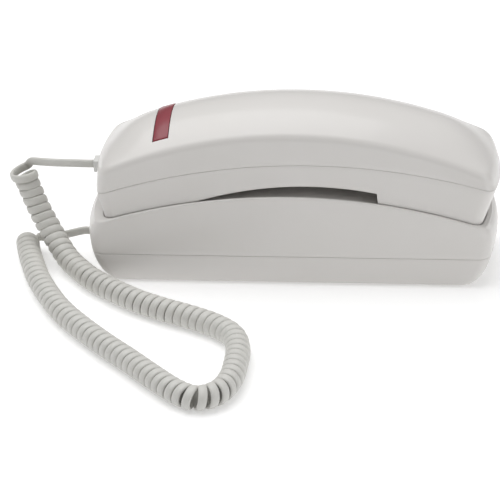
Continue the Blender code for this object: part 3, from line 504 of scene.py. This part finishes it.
def plastic(name, color, second, roughness, coat=0.0, grain=0.0, grain_scale=1500.0, metallic=0.0,
            patch_scale=18.0):
    """A moulded surface: slow shifts between two close colours, uneven gloss and a fine grain."""
    made = bpy.data.materials.new(name)
    made.use_nodes = True
    tree = made.node_tree
    shader = tree.nodes["Principled BSDF"]
    coords = tree.nodes.new("ShaderNodeTexCoord")
    patches = noise(tree, coords, patch_scale, 4.0)
    mix = tree.nodes.new("ShaderNodeMix")
    mix.data_type = "RGBA"
    mix.inputs["A"].default_value = (*color, 1)
    mix.inputs["B"].default_value = (*second, 1)
    share = spread(tree, patches, 0.0, 1.0)
    tree.links.new(share.outputs["Result"], mix.inputs["Factor"])
    tree.links.new(mix.outputs["Result"], shader.inputs["Base Color"])
    gloss = noise(tree, coords, 4 * patch_scale, 5.0, 0.6)
    level = spread(tree, gloss, *roughness)
    tree.links.new(level.outputs["Result"], shader.inputs["Roughness"])
    shader.inputs["Metallic"].default_value = metallic
    shader.inputs["Coat Weight"].default_value = coat
    shader.inputs["Coat Roughness"].default_value = 0.12
    if grain:
        fine = noise(tree, coords, grain_scale, 2.0)
        bump = tree.nodes.new("ShaderNodeBump")
        bump.inputs["Strength"].default_value = grain
        bump.inputs["Distance"].default_value = 0.02 * MM
        link(tree, fine, "Fac", bump, "Height")
        tree.links.new(bump.outputs["Normal"], shader.inputs["Normal"])
    return made


SHELL = plastic("shell_plastic", (0.735, 0.715, 0.695), (0.715, 0.695, 0.670), (0.30, 0.38),
                0.25, 0.25)
CORD_SKIN = plastic("cord_vinyl", (0.66, 0.655, 0.625), (0.63, 0.62, 0.585), (0.38, 0.50),
                    0.0, 0.3, 900.0)
KEY_CAP = plastic("key_plastic", (0.70, 0.69, 0.66), (0.67, 0.655, 0.62), (0.34, 0.42), 0.1, 0.3)
PLATE = plastic("faceplate_plastic", (0.42, 0.41, 0.39), (0.39, 0.38, 0.36), (0.42, 0.52),
                0.0, 0.5, 1100.0)
INK = plastic("key_ink", (0.035, 0.035, 0.04), (0.05, 0.05, 0.055), (0.45, 0.6))
LENS = plastic("lens_red", (0.265, 0.030, 0.045), (0.235, 0.025, 0.038), (0.28, 0.36), 0.1,
               patch_scale=60.0)
RUBBER = plastic("rubber", (0.035, 0.034, 0.033), (0.05, 0.048, 0.046), (0.7, 0.9), 0.0, 0.6, 700.0)
MEMBRANE = plastic("membrane", (0.12, 0.12, 0.13), (0.10, 0.10, 0.11), (0.6, 0.8), 0.0, 0.3)
BOARD = plastic("board_laminate", (0.03, 0.13, 0.05), (0.02, 0.10, 0.04), (0.35, 0.5),
                0.2, 0.3, 600.0)
STEEL = plastic("zinc_steel", (0.55, 0.55, 0.56), (0.48, 0.48, 0.49), (0.25, 0.4),
                metallic=1.0, grain=0.2)
BRASS = plastic("brass", (0.62, 0.45, 0.18), (0.55, 0.38, 0.14), (0.25, 0.4),
                metallic=1.0, grain=0.2)
BLACK = plastic("black_plastic", (0.025, 0.025, 0.027), (0.035, 0.035, 0.037), (0.35, 0.5), 0.0, 0.3)
CLEAR = plastic("plug_clear", (0.78, 0.78, 0.76), (0.72, 0.72, 0.70), (0.12, 0.2), 0.4)

# By the start of a CAD node's name; the longest start that fits wins
NODE_MATERIALS = {
    "foot": RUBBER, "base_screw": STEEL, "handset_screw": STEEL, "hook_plunger": KEY_CAP,
    "hook_spring": STEEL, "hook_switch_body": BLACK, "base_circuit_board": BOARD,
    "handset_circuit_board": BOARD, "ringer_disc": BRASS, "ringer_volume_slider": KEY_CAP,
    "line_jack": BLACK, "base_handset_jack": BLACK, "handset_jack": BLACK, "message_led": LENS,
    "keypad_faceplate": PLATE, "keypad_membrane": MEMBRANE, "handset_ballast": STEEL,
    "key": KEY_CAP, "receiver_capsule": STEEL, "microphone": BLACK, "cord_plug": CLEAR,
}


def dress_nodes():
    """Gives the CAD nodes that stay in sight or inside their materials."""
    for name, node in NODES.items():
        for start, material in sorted(NODE_MATERIALS.items(), key=lambda item: len(item[0])):
            if name.startswith(start):
                node.data.materials.clear()
                node.data.materials.append(material)


# Base

def base_end_inset(z):
    if z < BELLY_Z:
        return END_TUCK * (1 - math.sqrt(1 - ((BELLY_Z - z) / BELLY_Z) ** 2))
    return END_LEAN * ((z - BELLY_Z) / (rim_z(BASE_LENGTH / 2) - BELLY_Z)) ** 2


def base_side_inset(z):
    if z < BELLY_Z:
        return SIDE_TUCK * ((BELLY_Z - z) / BELLY_Z) ** 3
    return 0.0


def base_outline(z, inset=0.0):
    half = BASE_LENGTH / 2 - base_end_inset(z) - inset
    half_width = BASE_WIDTH / 2 - base_side_inset(z) - inset
    return outline(-half, half, half_width, BASE_CORNER - inset, BASE_BULGE)


def base_level(share, ease=0.0):
    """The housing's wall at a share of its height: its height at the ends and along X."""
    seam = BASE_PART_Z + SEAM_GAP / 2 + ease
    z_end = seam + share * (rim_z(BASE_LENGTH / 2) - seam)
    return z_end, lambda x: seam + share * (rim_z(x) - seam)


def cup_block(cup, grow, low, high):
    points = outline(cup["x"] - cup["half_length"] - grow, cup["x"] + cup["half_length"] + grow,
                     cup["half_width"] + grow, CUP_CORNER + grow,
                     CUP_BULGE_SHARE * cup["half_length"], CUP_SIDE_STEPS)
    return loft("cup", [ring(points, low), ring(points, high)])


def pocket_floor_z(x):
    return seat_z(x) - CUP_DEPTH - CUP_CLEARANCE


def jack_opening(x_low, x_high, z):
    half_width = PLUG_WIDTH / 2 + 2 * GAP
    half_height = PLUG_HEIGHT / 2 + 2 * GAP
    return box((x_low, -half_width, z - half_height), (x_high, half_width, z + half_height))


def fillet_shares(steps):
    """Inset and fall of points along a quarter turn, from the flat side to the wall."""
    turns = [math.pi / 2 * k / steps for k in range(steps + 1)]
    return [(1 - math.sin(turn), 1 - math.cos(turn)) for turn in turns]


def base_screw_places():
    return [(sx * SCREW_X, sy * SCREW_Y) for sx in (-1, 1) for sy in (-1, 1)]


def make_base_housing():
    rim_end = base_level(1)[0]
    rings = []
    for inset, fall in fillet_shares(FILLET_STEPS):
        rings.append(ring(base_outline(rim_end, inset * RIM_FILLET),
                          shifted(rim_z, -fall * RIM_FILLET)))
    for k in range(HOUSING_LEVELS - 1, -1, -1):
        z_end, height = base_level(HOUSING_TOP_SHARE * k / HOUSING_LEVELS, SEAM_EASE)
        rings.append(ring(base_outline(z_end), height))
    z_end, height = base_level(0)
    step = SEAM_EASE_STEP * SEAM_EASE
    rings.append(ring(base_outline(z_end, step), shifted(height, step)))
    rings.append(ring(base_outline(z_end, SEAM_EASE), height))
    for share in (0.0, 0.4):
        z_end, height = base_level(share)
        rings.append(ring(base_outline(z_end, BASE_WALL), height))
    rings.append(ring(base_outline(rim_end, BASE_WALL), shifted(deck_z, -BASE_WALL)))
    changes = []
    for cup in (MOUTH_CUP, EAR_CUP):
        changes.append(("UNION", cup_block(cup, CUP_CLEARANCE + BASE_WALL,
                                           shifted(pocket_floor_z, -BASE_WALL),
                                           shifted(deck_z, -BASE_WALL / 2))))
        changes.append(("DIFFERENCE", cup_block(cup, CUP_CLEARANCE, pocket_floor_z,
                                                shifted(rim_z, CUTTER_REACH))))
    cradle = handset_outline(0, -CRADLE_CLEARANCE)
    cradle_rings = [ring(cradle, deck_z), ring(cradle, shifted(rim_z, CUTTER_REACH))]
    changes.append(("DIFFERENCE", loft("cradle", cradle_rings)))
    holes = [cylinder(PLUNGER_X, 0, pocket_floor_z(PLUNGER_X) - PLUNGER_HOLE_DEPTH,
                      rim_z(PLUNGER_X), PLUNGER_RADIUS + SLIDE_GAP),
             jack_opening(-BASE_LENGTH, -BASE_LENGTH / 2 + END_TUCK, BASE_JACK_Z)]
    slot_length = SLIDER_LENGTH / 2 + SLIDER_TRAVEL + SLIDE_GAP
    slot_height = SLIDER_HEIGHT / 2 + SLIDE_GAP
    holes.append(box((SLIDER_X - slot_length, BASE_WIDTH / 2 - 2 * BASE_WALL,
                      SLIDER_Z - slot_height),
                     (SLIDER_X + slot_length, BASE_WIDTH, SLIDER_Z + slot_height)))
    changes.append(("DIFFERENCE", joined(holes)))
    return carved("base_upper_shell", loft("base_upper_shell", rings), changes)


def make_base_tub():
    top = BASE_PART_Z - SEAM_GAP / 2
    rings = []
    for k in range(TUB_LEVELS + 1):
        z = FOOT_PROUD + FOOT_EDGE + (top - SEAM_EASE - FOOT_PROUD - FOOT_EDGE) * k / TUB_LEVELS
        rings.append(ring(base_outline(z), lambda x, z=z: z))
    low = [ring(base_outline(FOOT_PROUD, inset * MM), lambda x, z=FOOT_PROUD + rise * MM: z)
           for inset, rise in ((0.8, 0), (0.25, 0.2), (0, 0.5))]
    rings = low + rings
    step = SEAM_EASE_STEP * SEAM_EASE
    rings.append(ring(base_outline(top, step), lambda x: top - step))
    rings.append(ring(base_outline(top, SEAM_EASE), lambda x: top))
    for z in (top, 0.6 * top, FOOT_PROUD + BASE_WALL):
        rings.append(ring(base_outline(z, BASE_WALL), lambda x, z=z: z))
    holes = [cylinder(sx * FOOT_X, sy * FOOT_Y, 0, FOOT_PROUD + FOOT_RECESS, FOOT_RADIUS + GAP)
             for sx in (-1, 1) for sy in (-1, 1)]
    holes.append(jack_opening(-BASE_LENGTH, -BASE_LENGTH / 2 + END_TUCK, BASE_JACK_Z))
    holes.append(box_at((LINE_JACK_X, BASE_WIDTH / 2, LINE_JACK_Z),
                        (LINE_SOCKET_WIDTH + 2 * GAP, 4 * BASE_WALL, LINE_SOCKET_HEIGHT + 2 * GAP)))
    heads = [cylinder(x, y, 0, FOOT_PROUD + HEAD_HEIGHT + GAP, HEAD_RADIUS + GAP)
             for x, y in base_screw_places()]
    changes = [("DIFFERENCE", joined(holes)), ("DIFFERENCE", joined(heads))]
    for sx in (-1, 1):
        x = sx * KEYHOLE_X
        slot = box((x, -KEYHOLE_SLOT_HALF_WIDTH, 0),
                   (x + KEYHOLE_SLOT_LENGTH, KEYHOLE_SLOT_HALF_WIDTH, 3 * BASE_WALL))
        changes.append(("DIFFERENCE", cylinder(x, 0, 0, 3 * BASE_WALL, KEYHOLE_RADIUS)))
        changes.append(("DIFFERENCE", slot))
    return carved("base_lower_tub", loft("base_lower_tub", rings), changes)


# Handset

def handset_outline(level, inset=0.0):
    """Level 0 is the underside, 1 the seam and 2 the top."""
    below, above = max(1 - level, 0), max(level - 1, 0)
    left = HANDSET_LEFT + LEFT_SLANT * below + TOP_DRAFT * above + inset
    right = HANDSET_RIGHT - RIGHT_SLANT * below - TOP_DRAFT * above - inset
    half_width = HANDSET_WIDTH / 2 - TOP_DRAFT * above - inset
    shoulder = [SHOULDER_X + SHOULDER_LENGTH * k / SHOULDER_STEPS for k in range(SHOULDER_STEPS + 1)]
    return outline(left, right, half_width, HANDSET_CORNER - inset, HANDSET_BULGE,
                   HANDSET_SIDE_STEPS, shoulder)


def edge_drop(x):
    """The height of the rounding around the back, which leaves a band of wall above the seam."""
    return min(EDGE_RISE, top_z(x) - seam_z(x) - EDGE_BAND)


def lens_block(grow, offset_low, offset_high):
    """A bar across the handset's back between two heights from its crown."""
    bm = bmesh.new()
    half = LENS_WIDTH / 2 + grow
    rows = []
    for x in (LENS_X - LENS_LENGTH / 2 - grow, LENS_X + LENS_LENGTH / 2 + grow):
        ys = [half * (2 * k / LENS_STEPS - 1) for k in range(LENS_STEPS + 1)]
        upper = [bm.verts.new((x, y, back_z(x, y) + offset_high)) for y in ys]
        lower = [bm.verts.new((x, y, back_z(x, y) + offset_low)) for y in reversed(ys)]
        rows.append(upper + lower)
        bm.faces.new(rows[-1])
    n = len(rows[0])
    for k in range(n):
        bm.faces.new((rows[0][k], rows[0][(k + 1) % n], rows[1][(k + 1) % n], rows[1][k]))
    return finished(bm, "lens")


def make_front_shell():
    seam = shifted(seam_z, -SEAM_GAP / 2)
    rings = []
    for inset, fall in fillet_shares(FILLET_STEPS):
        rings.append(ring(handset_outline(0, inset * LOW_FILLET),
                          shifted(low_z, fall * LOW_FILLET)))
    for k in range(1, FRONT_LEVELS):
        share = k / FRONT_LEVELS
        rings.append(ring(handset_outline(share), lambda x, share=share:
                          (1 - share) * (low_z(x) + LOW_FILLET) + share * (seam(x) - SEAM_EASE)))
    step = SEAM_EASE_STEP * SEAM_EASE
    rings += [ring(handset_outline(1), shifted(seam, -SEAM_EASE)),
              ring(handset_outline(1, step), shifted(seam, -step)),
              ring(handset_outline(1, SEAM_EASE), seam),
              ring(handset_outline(1, HANDSET_WALL), seam),
              ring(handset_outline(0, HANDSET_WALL), shifted(low_z, HANDSET_WALL))]
    changes = []
    for cup in (MOUTH_CUP, EAR_CUP):
        changes.append(("UNION", cup_block(cup, 0, shifted(seat_z, -CUP_DEPTH),
                                           shifted(seat_z, HANDSET_WALL / 2))))
        changes.append(("DIFFERENCE", cup_block(cup, -HANDSET_WALL,
                                                shifted(seat_z, HANDSET_WALL - CUP_DEPTH),
                                                shifted(seat_z, 2 * HANDSET_WALL))))
    window = arched_slab("window", KEYPAD_X - KEYPAD_HALF_LENGTH - GAP,
                         KEYPAD_X + KEYPAD_HALF_LENGTH + GAP, KEYPAD_HALF_WIDTH + GAP,
                         -KEYPAD_CUT_PROUD, 2 * HANDSET_WALL)
    changes.append(("DIFFERENCE", window))
    holes = [(EAR_CUP["x"], 0)]
    for k in range(6):
        angle = math.pi * k / 3
        holes.append((EAR_CUP["x"] + EAR_RING_RADIUS * math.cos(angle),
                      EAR_RING_RADIUS * math.sin(angle)))
    holes += [(MOUTH_CUP["x"], side * MOUTH_HOLE_PITCH) for side in (-1, 0, 1)]
    changes.append(("DIFFERENCE", joined([
        cylinder(x, y, seat_z(x) - 2 * CUP_DEPTH, seat_z(x) - CUP_DEPTH + 2 * HANDSET_WALL,
                 SOUND_HOLE_RADIUS, 20)
        for x, y in holes])))
    z = low_z(HANDSET_SCREW_X)
    changes.append(("DIFFERENCE", joined([
        cylinder(HANDSET_SCREW_X, y, z - 2 * MM, z + HEAD_HEIGHT + GAP, HEAD_RADIUS + GAP)
        for y in (-HANDSET_SCREW_Y, HANDSET_SCREW_Y)])))
    changes.append(("DIFFERENCE", jack_opening(2 * HANDSET_LEFT, HANDSET_LEFT + END_WALL_REACH,
                                               HANDSET_JACK_Z)))
    return carved("handset_front_cover", loft("handset_front_cover", rings), changes)


def make_back_shell():
    seam = shifted(seam_z, SEAM_GAP / 2)
    rings = []
    for k in range(FILLET_STEPS, -1, -1):
        turn = (math.pi / 2 - EDGE_SLOPE) * k / FILLET_STEPS
        inset = EDGE_RADIUS * (1 - math.cos(turn))
        fall = 1 - math.sin(turn) / math.cos(EDGE_SLOPE)
        rings.append(ring(handset_outline(2, inset),
                          lambda x, fall=fall: top_z(x) - fall * edge_drop(x)))
    for k in range(1, BACK_LEVELS):
        share = 1 - k / BACK_LEVELS
        rings.append(ring(handset_outline(1 + share), lambda x, share=share:
                          share * (top_z(x) - edge_drop(x)) + (1 - share) * (seam(x) + SEAM_EASE)))
    step = SEAM_EASE_STEP * SEAM_EASE
    rings += [ring(handset_outline(1), shifted(seam, SEAM_EASE)),
              ring(handset_outline(1, step), shifted(seam, step)),
              ring(handset_outline(1, SEAM_EASE), seam),
              ring(handset_outline(1, HANDSET_WALL), seam),
              ring(handset_outline(2, HANDSET_WALL), lambda x: top_z(x) - edge_drop(x)),
              ring(handset_outline(2, HANDSET_WALL + EDGE_INSET), shifted(top_z, -HANDSET_WALL))]
    changes = [("DIFFERENCE", lens_block(GAP, -2 * LENS_DEPTH, LENS_CUT_PROUD)),
               ("DIFFERENCE", jack_opening(2 * HANDSET_LEFT, HANDSET_LEFT + END_WALL_REACH,
                                           HANDSET_JACK_Z))]
    return carved("handset_back_cover", loft("handset_back_cover", rings, CROWN, CROWN), changes)


def make_key_labels():
    """Plain digits on the keys' outer faces, read from below with the earpiece up."""
    for row, labels in enumerate(KEY_LABELS):
        x = KEYPAD_X + (2 - row) * KEY_PITCH_X
        for column, label in enumerate(labels):
            y = (column - 1) * KEY_PITCH_Y
            text = bpy.data.curves.new("label", "FONT")
            text.body = label
            text.size = SIGN_SIZE if label in KEY_NAMES else DIGIT_SIZE
            text.align_x = "CENTER"
            text.align_y = "CENTER"
            text.extrude = PRINT_HALF_THICKNESS
            holder = placed("label", text)
            bpy.context.view_layer.update()
            mesh = applied(holder)
            bpy.data.objects.remove(holder)
            slope = (low_z(x + MM) - low_z(x - MM)) / (2 * MM)
            place = Matrix.Translation((x, y, low_z(x)))
            place = place @ Matrix.Rotation(-math.atan(slope), 4, "Y")
            facing = Matrix(((0, 1, 0, 0), (1, 0, 0, 0), (0, 0, -1, KEY_RECESS - PRINT_SINK),
                             (0, 0, 0, 1)))
            mesh.transform(place @ facing)
            name = KEY_NAMES.get(label, label)
            dress(placed(f"key_{name}_print", mesh), f"key_{name}", INK)


# Cord

def smooth_route(points, spacing):
    """A smooth curve through all the points, in steps of about this spacing."""
    padded = [2 * points[0] - points[1]] + points + [2 * points[-1] - points[-2]]
    route = []
    for a, b, c, d in zip(padded, padded[1:], padded[2:], padded[3:]):
        steps = max(1, round((c - b).length / spacing))
        for k in range(steps):
            t = k / steps
            route.append(0.5 * (2 * b + (c - a) * t + (2 * a - 5 * b + 4 * c - d) * t ** 2
                                + (3 * b - a - 3 * c + d) * t ** 3))
    return route + [points[-1]]


def across(vector, direction):
    """The part of a vector that is square to a direction, at length 1."""
    return (vector - direction * vector.dot(direction)).normalized()


def wound_coil():
    """The middle line of the coil's turns and, at each point, the direction away from the coil's axis."""
    axis = smooth_route([Vector(p) for p in COIL_ROUTE], COIL_SPACING)
    lengths = [0.0]
    for a, b in zip(axis, axis[1:]):
        lengths.append(lengths[-1] + (b - a).length)
    total = lengths[-1]
    tangents = []
    for k in range(len(axis)):
        tangents.append((axis[min(k + 1, len(axis) - 1)] - axis[max(k - 1, 0)]).normalized())
    sides = [across(Vector((0, 1, 0)), tangents[0])]
    for tangent in tangents[1:]:
        sides.append(across(sides[-1], tangent))
    last_up = across(Vector((0, 0, 1)), tangents[-1])
    last_other = tangents[-1].cross(sides[-1])
    end_turn = math.atan2(-last_up.dot(last_other), last_up.dot(sides[-1])) - math.pi / 2
    turns = total / PITCH
    whole = 2 * math.pi * round(turns - end_turn / (2 * math.pi)) + end_turn
    points, outward = [], []
    steps = round(whole / (2 * math.pi) * POINTS_PER_TURN)
    at = 0
    for k in range(steps + 1):
        s = total * k / steps
        while at < len(axis) - 2 and lengths[at + 1] < s:
            at += 1
        share = (s - lengths[at]) / (lengths[at + 1] - lengths[at])
        middle = axis[at].lerp(axis[at + 1], share)
        tangent = tangents[at].lerp(tangents[at + 1], share).normalized()
        side = across(sides[at].lerp(sides[at + 1], share), tangent)
        other = tangent.cross(side)
        turn = whole * k / steps
        away = side * math.cos(turn) - other * math.sin(turn)
        radius = WIND_RADIUS + FLARE * (1 - smoothstep(s / FLARE_LENGTH))
        points.append(middle + away * radius)
        outward.append(away)
    return points, outward


def hermite(a, ta, b, tb, steps):
    """The points between a and b on a curve that leaves along ta and arrives along tb."""
    made = []
    for k in range(1, steps):
        t = k / steps
        made.append(a * (2 * t ** 3 - 3 * t ** 2 + 1) + ta * (t ** 3 - 2 * t ** 2 + t)
                    + b * (3 * t ** 2 - 2 * t ** 3) + tb * (t ** 3 - t ** 2))
    return made


def make_cord():
    coil, outward = wound_coil()
    exit_point = Vector((HANDSET_LEFT - PLUG_PROUD - GAP, 0, HANDSET_JACK_Z))
    first = [exit_point, exit_point - Vector((HANDSET_EXIT_LENGTH, 0, 0))]
    first = smooth_route(first + [Vector(p) for p in HANDSET_TAIL], TAIL_SPACING)
    reach = (coil[0] - first[-1]).length
    joint = hermite(first[-1], (first[-1] - first[-2]).normalized() * reach, coil[0],
                    (coil[1] - coil[0]).normalized() * reach, HANDSET_JOINT_STEPS)
    start = first + joint
    end_point = Vector((-BASE_LENGTH / 2 - PLUG_PROUD / 2 - GAP, 0, BASE_JACK_Z))
    last = [end_point - Vector((BASE_EXIT_LENGTH, 0, 0)), end_point]
    last = smooth_route([Vector(p) for p in BASE_TAIL] + last, TAIL_SPACING)
    reach = (last[0] - coil[-1]).length
    joint = hermite(coil[-1], (coil[-1] - coil[-2]).normalized() * reach, last[0],
                    (last[1] - last[0]).normalized() * reach, BASE_JOINT_STEPS)
    finish = joint + last
    line = start + coil + finish
    level = Vector((0, 1, 0))
    flat = [level] * len(start) + outward
    for k in range(len(finish)):
        share = smoothstep((k + 1) / (TURN_IN_SHARE * len(finish)))
        flat.append(outward[-1].lerp(level, share))
    section = []
    for k in range(SECTION_POINTS):
        angle = 2 * math.pi * k / SECTION_POINTS
        c, s = math.cos(angle), math.sin(angle)
        section.append((math.copysign(abs(c) ** SECTION_SQUARENESS[0], c) * CORD_WIDTH / 2,
                        math.copysign(abs(s) ** SECTION_SQUARENESS[1], s) * CORD_THICK / 2))
    bm = bmesh.new()
    loops = []
    for k, point in enumerate(line):
        tangent = (line[min(k + 1, len(line) - 1)] - line[max(k - 1, 0)]).normalized()
        out = across(flat[k], tangent)
        wide = tangent.cross(out)
        loops.append([bm.verts.new(point + wide * w + out * n) for w, n in section])
    for one, two in zip(loops, loops[1:]):
        for k in range(SECTION_POINTS):
            after = (k + 1) % SECTION_POINTS
            bm.faces.new((one[k], one[after], two[after], two[k]))
    bm.faces.new(loops[0])
    bm.faces.new(loops[-1])
    mesh = finished(bm, "curly_cord")
    mesh.materials.append(CORD_SKIN)
    mesh.shade_smooth()
    cord = placed("curly_cord", mesh)
    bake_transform(cord)
    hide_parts("cord_coil", "cord_tail_handset", "cord_tail_base")


# Stage

def make_floor():
    mesh = bpy.data.meshes.new("floor")
    size = FLOOR_HALF_SIZE
    mesh.from_pydata([(-size, -size, 0), (size, -size, 0), (size, size, 0), (-size, size, 0)], [],
                     [(0, 1, 2, 3)])
    material = bpy.data.materials.new("floor_white")
    material.use_nodes = True
    shader = material.node_tree.nodes["Principled BSDF"]
    shader.inputs["Base Color"].default_value = (FLOOR_WHITE, FLOOR_WHITE, FLOOR_WHITE, 1)
    shader.inputs["Roughness"].default_value = 0.9
    shader.inputs["Specular IOR Level"].default_value = 0.0
    shader.inputs["Emission Color"].default_value = (1, 1, 1, 1)
    shader.inputs["Emission Strength"].default_value = FLOOR_GLOW
    mesh.materials.append(material)
    floor = placed("floor", mesh)


def make_sky():
    """A white sky, brighter towards its zenith and towards the back of the object."""
    world = bpy.data.worlds.new("studio")
    bpy.context.scene.world = world
    world.use_nodes = True
    tree = world.node_tree
    background = tree.nodes["Background"]
    coords = tree.nodes.new("ShaderNodeTexCoord")
    split = tree.nodes.new("ShaderNodeSeparateXYZ")
    tree.links.new(coords.outputs["Generated"], split.inputs["Vector"])
    ramp = tree.nodes.new("ShaderNodeMapRange")
    ramp.inputs["From Min"].default_value = 0.0
    ramp.inputs["From Max"].default_value = SKY_ZENITH_HEIGHT
    ramp.inputs["To Min"].default_value = SKY_HORIZON
    ramp.inputs["To Max"].default_value = SKY_ZENITH
    tree.links.new(split.outputs["Z"], ramp.inputs["Value"])
    behind = tree.nodes.new("ShaderNodeMapRange")
    behind.inputs["From Min"].default_value = -1.0
    behind.inputs["To Min"].default_value = SKY_FRONT
    behind.inputs["To Max"].default_value = 2 - SKY_FRONT
    tree.links.new(split.outputs["Y"], behind.inputs["Value"])
    shade = tree.nodes.new("ShaderNodeMath")
    shade.operation = "MULTIPLY"
    tree.links.new(ramp.outputs["Result"], shade.inputs[0])
    tree.links.new(behind.outputs["Result"], shade.inputs[1])
    background.inputs["Color"].default_value = (1, 1, 1, 1)
    tree.links.new(shade.outputs["Value"], background.inputs["Strength"])


def area_light(name, place, size, energy):
    data = bpy.data.lights.new(name, "AREA")
    data.shape = "SQUARE"
    data.size = size
    data.energy = energy
    lamp = placed(name, data)
    lamp.location = place
    lamp.rotation_mode = "QUATERNION"
    lamp.rotation_quaternion = (Vector(LIGHT_TARGET) - Vector(place)).to_track_quat("-Z", "Y")


def make_camera():
    ahead = Vector((-math.sin(CAMERA_YAW) * math.cos(CAMERA_ELEVATION),
                    math.cos(CAMERA_YAW) * math.cos(CAMERA_ELEVATION), -math.sin(CAMERA_ELEVATION)))
    level_right = Vector((math.cos(CAMERA_YAW), math.sin(CAMERA_YAW), 0))
    level_up = level_right.cross(ahead)
    right = math.cos(CAMERA_ROLL) * level_right + math.sin(CAMERA_ROLL) * level_up
    up = -math.sin(CAMERA_ROLL) * level_right + math.cos(CAMERA_ROLL) * level_up
    place = Vector(CAMERA_TARGET) - CAMERA_DISTANCE * ahead
    ahead = (ahead + right * AIM_RIGHT - up * AIM_DOWN).normalized()
    right = (right - ahead * right.dot(ahead)).normalized()
    up = right.cross(ahead)
    data = bpy.data.cameras.new("camera")
    data.lens = CAMERA_LENS
    data.sensor_width = 36
    data.clip_start = 0.05
    camera = placed("camera", data)
    turn = Matrix((right, up, -ahead)).transposed()
    camera.matrix_world = Matrix.Translation(place) @ turn.to_4x4()
    bpy.context.scene.camera = camera


dress_nodes()
make_cord()
dress(make_base_housing(), "base", SHELL, ("base_housing",))
dress(make_base_tub(), "base", SHELL, ("base_plate",))
dress(make_front_shell(), "handset", SHELL, ("handset_front_shell",))
dress(make_back_shell(), "handset", SHELL, ("handset_back_shell",))
dress(carved("message_window", lens_block(0, -LENS_DEPTH, LENS_PROUD), [], LENS_EASE),
      "handset", LENS, ("message_lens",))
make_key_labels()
make_floor()
make_sky()
area_light("overhead", (-0.42, 0.06, 1.5), 1.7, 18.5)
area_light("from_right", (1.2, -0.5, 0.45), 0.8, 3.4)
make_camera()
bpy.context.scene.view_settings.view_transform = "Standard"
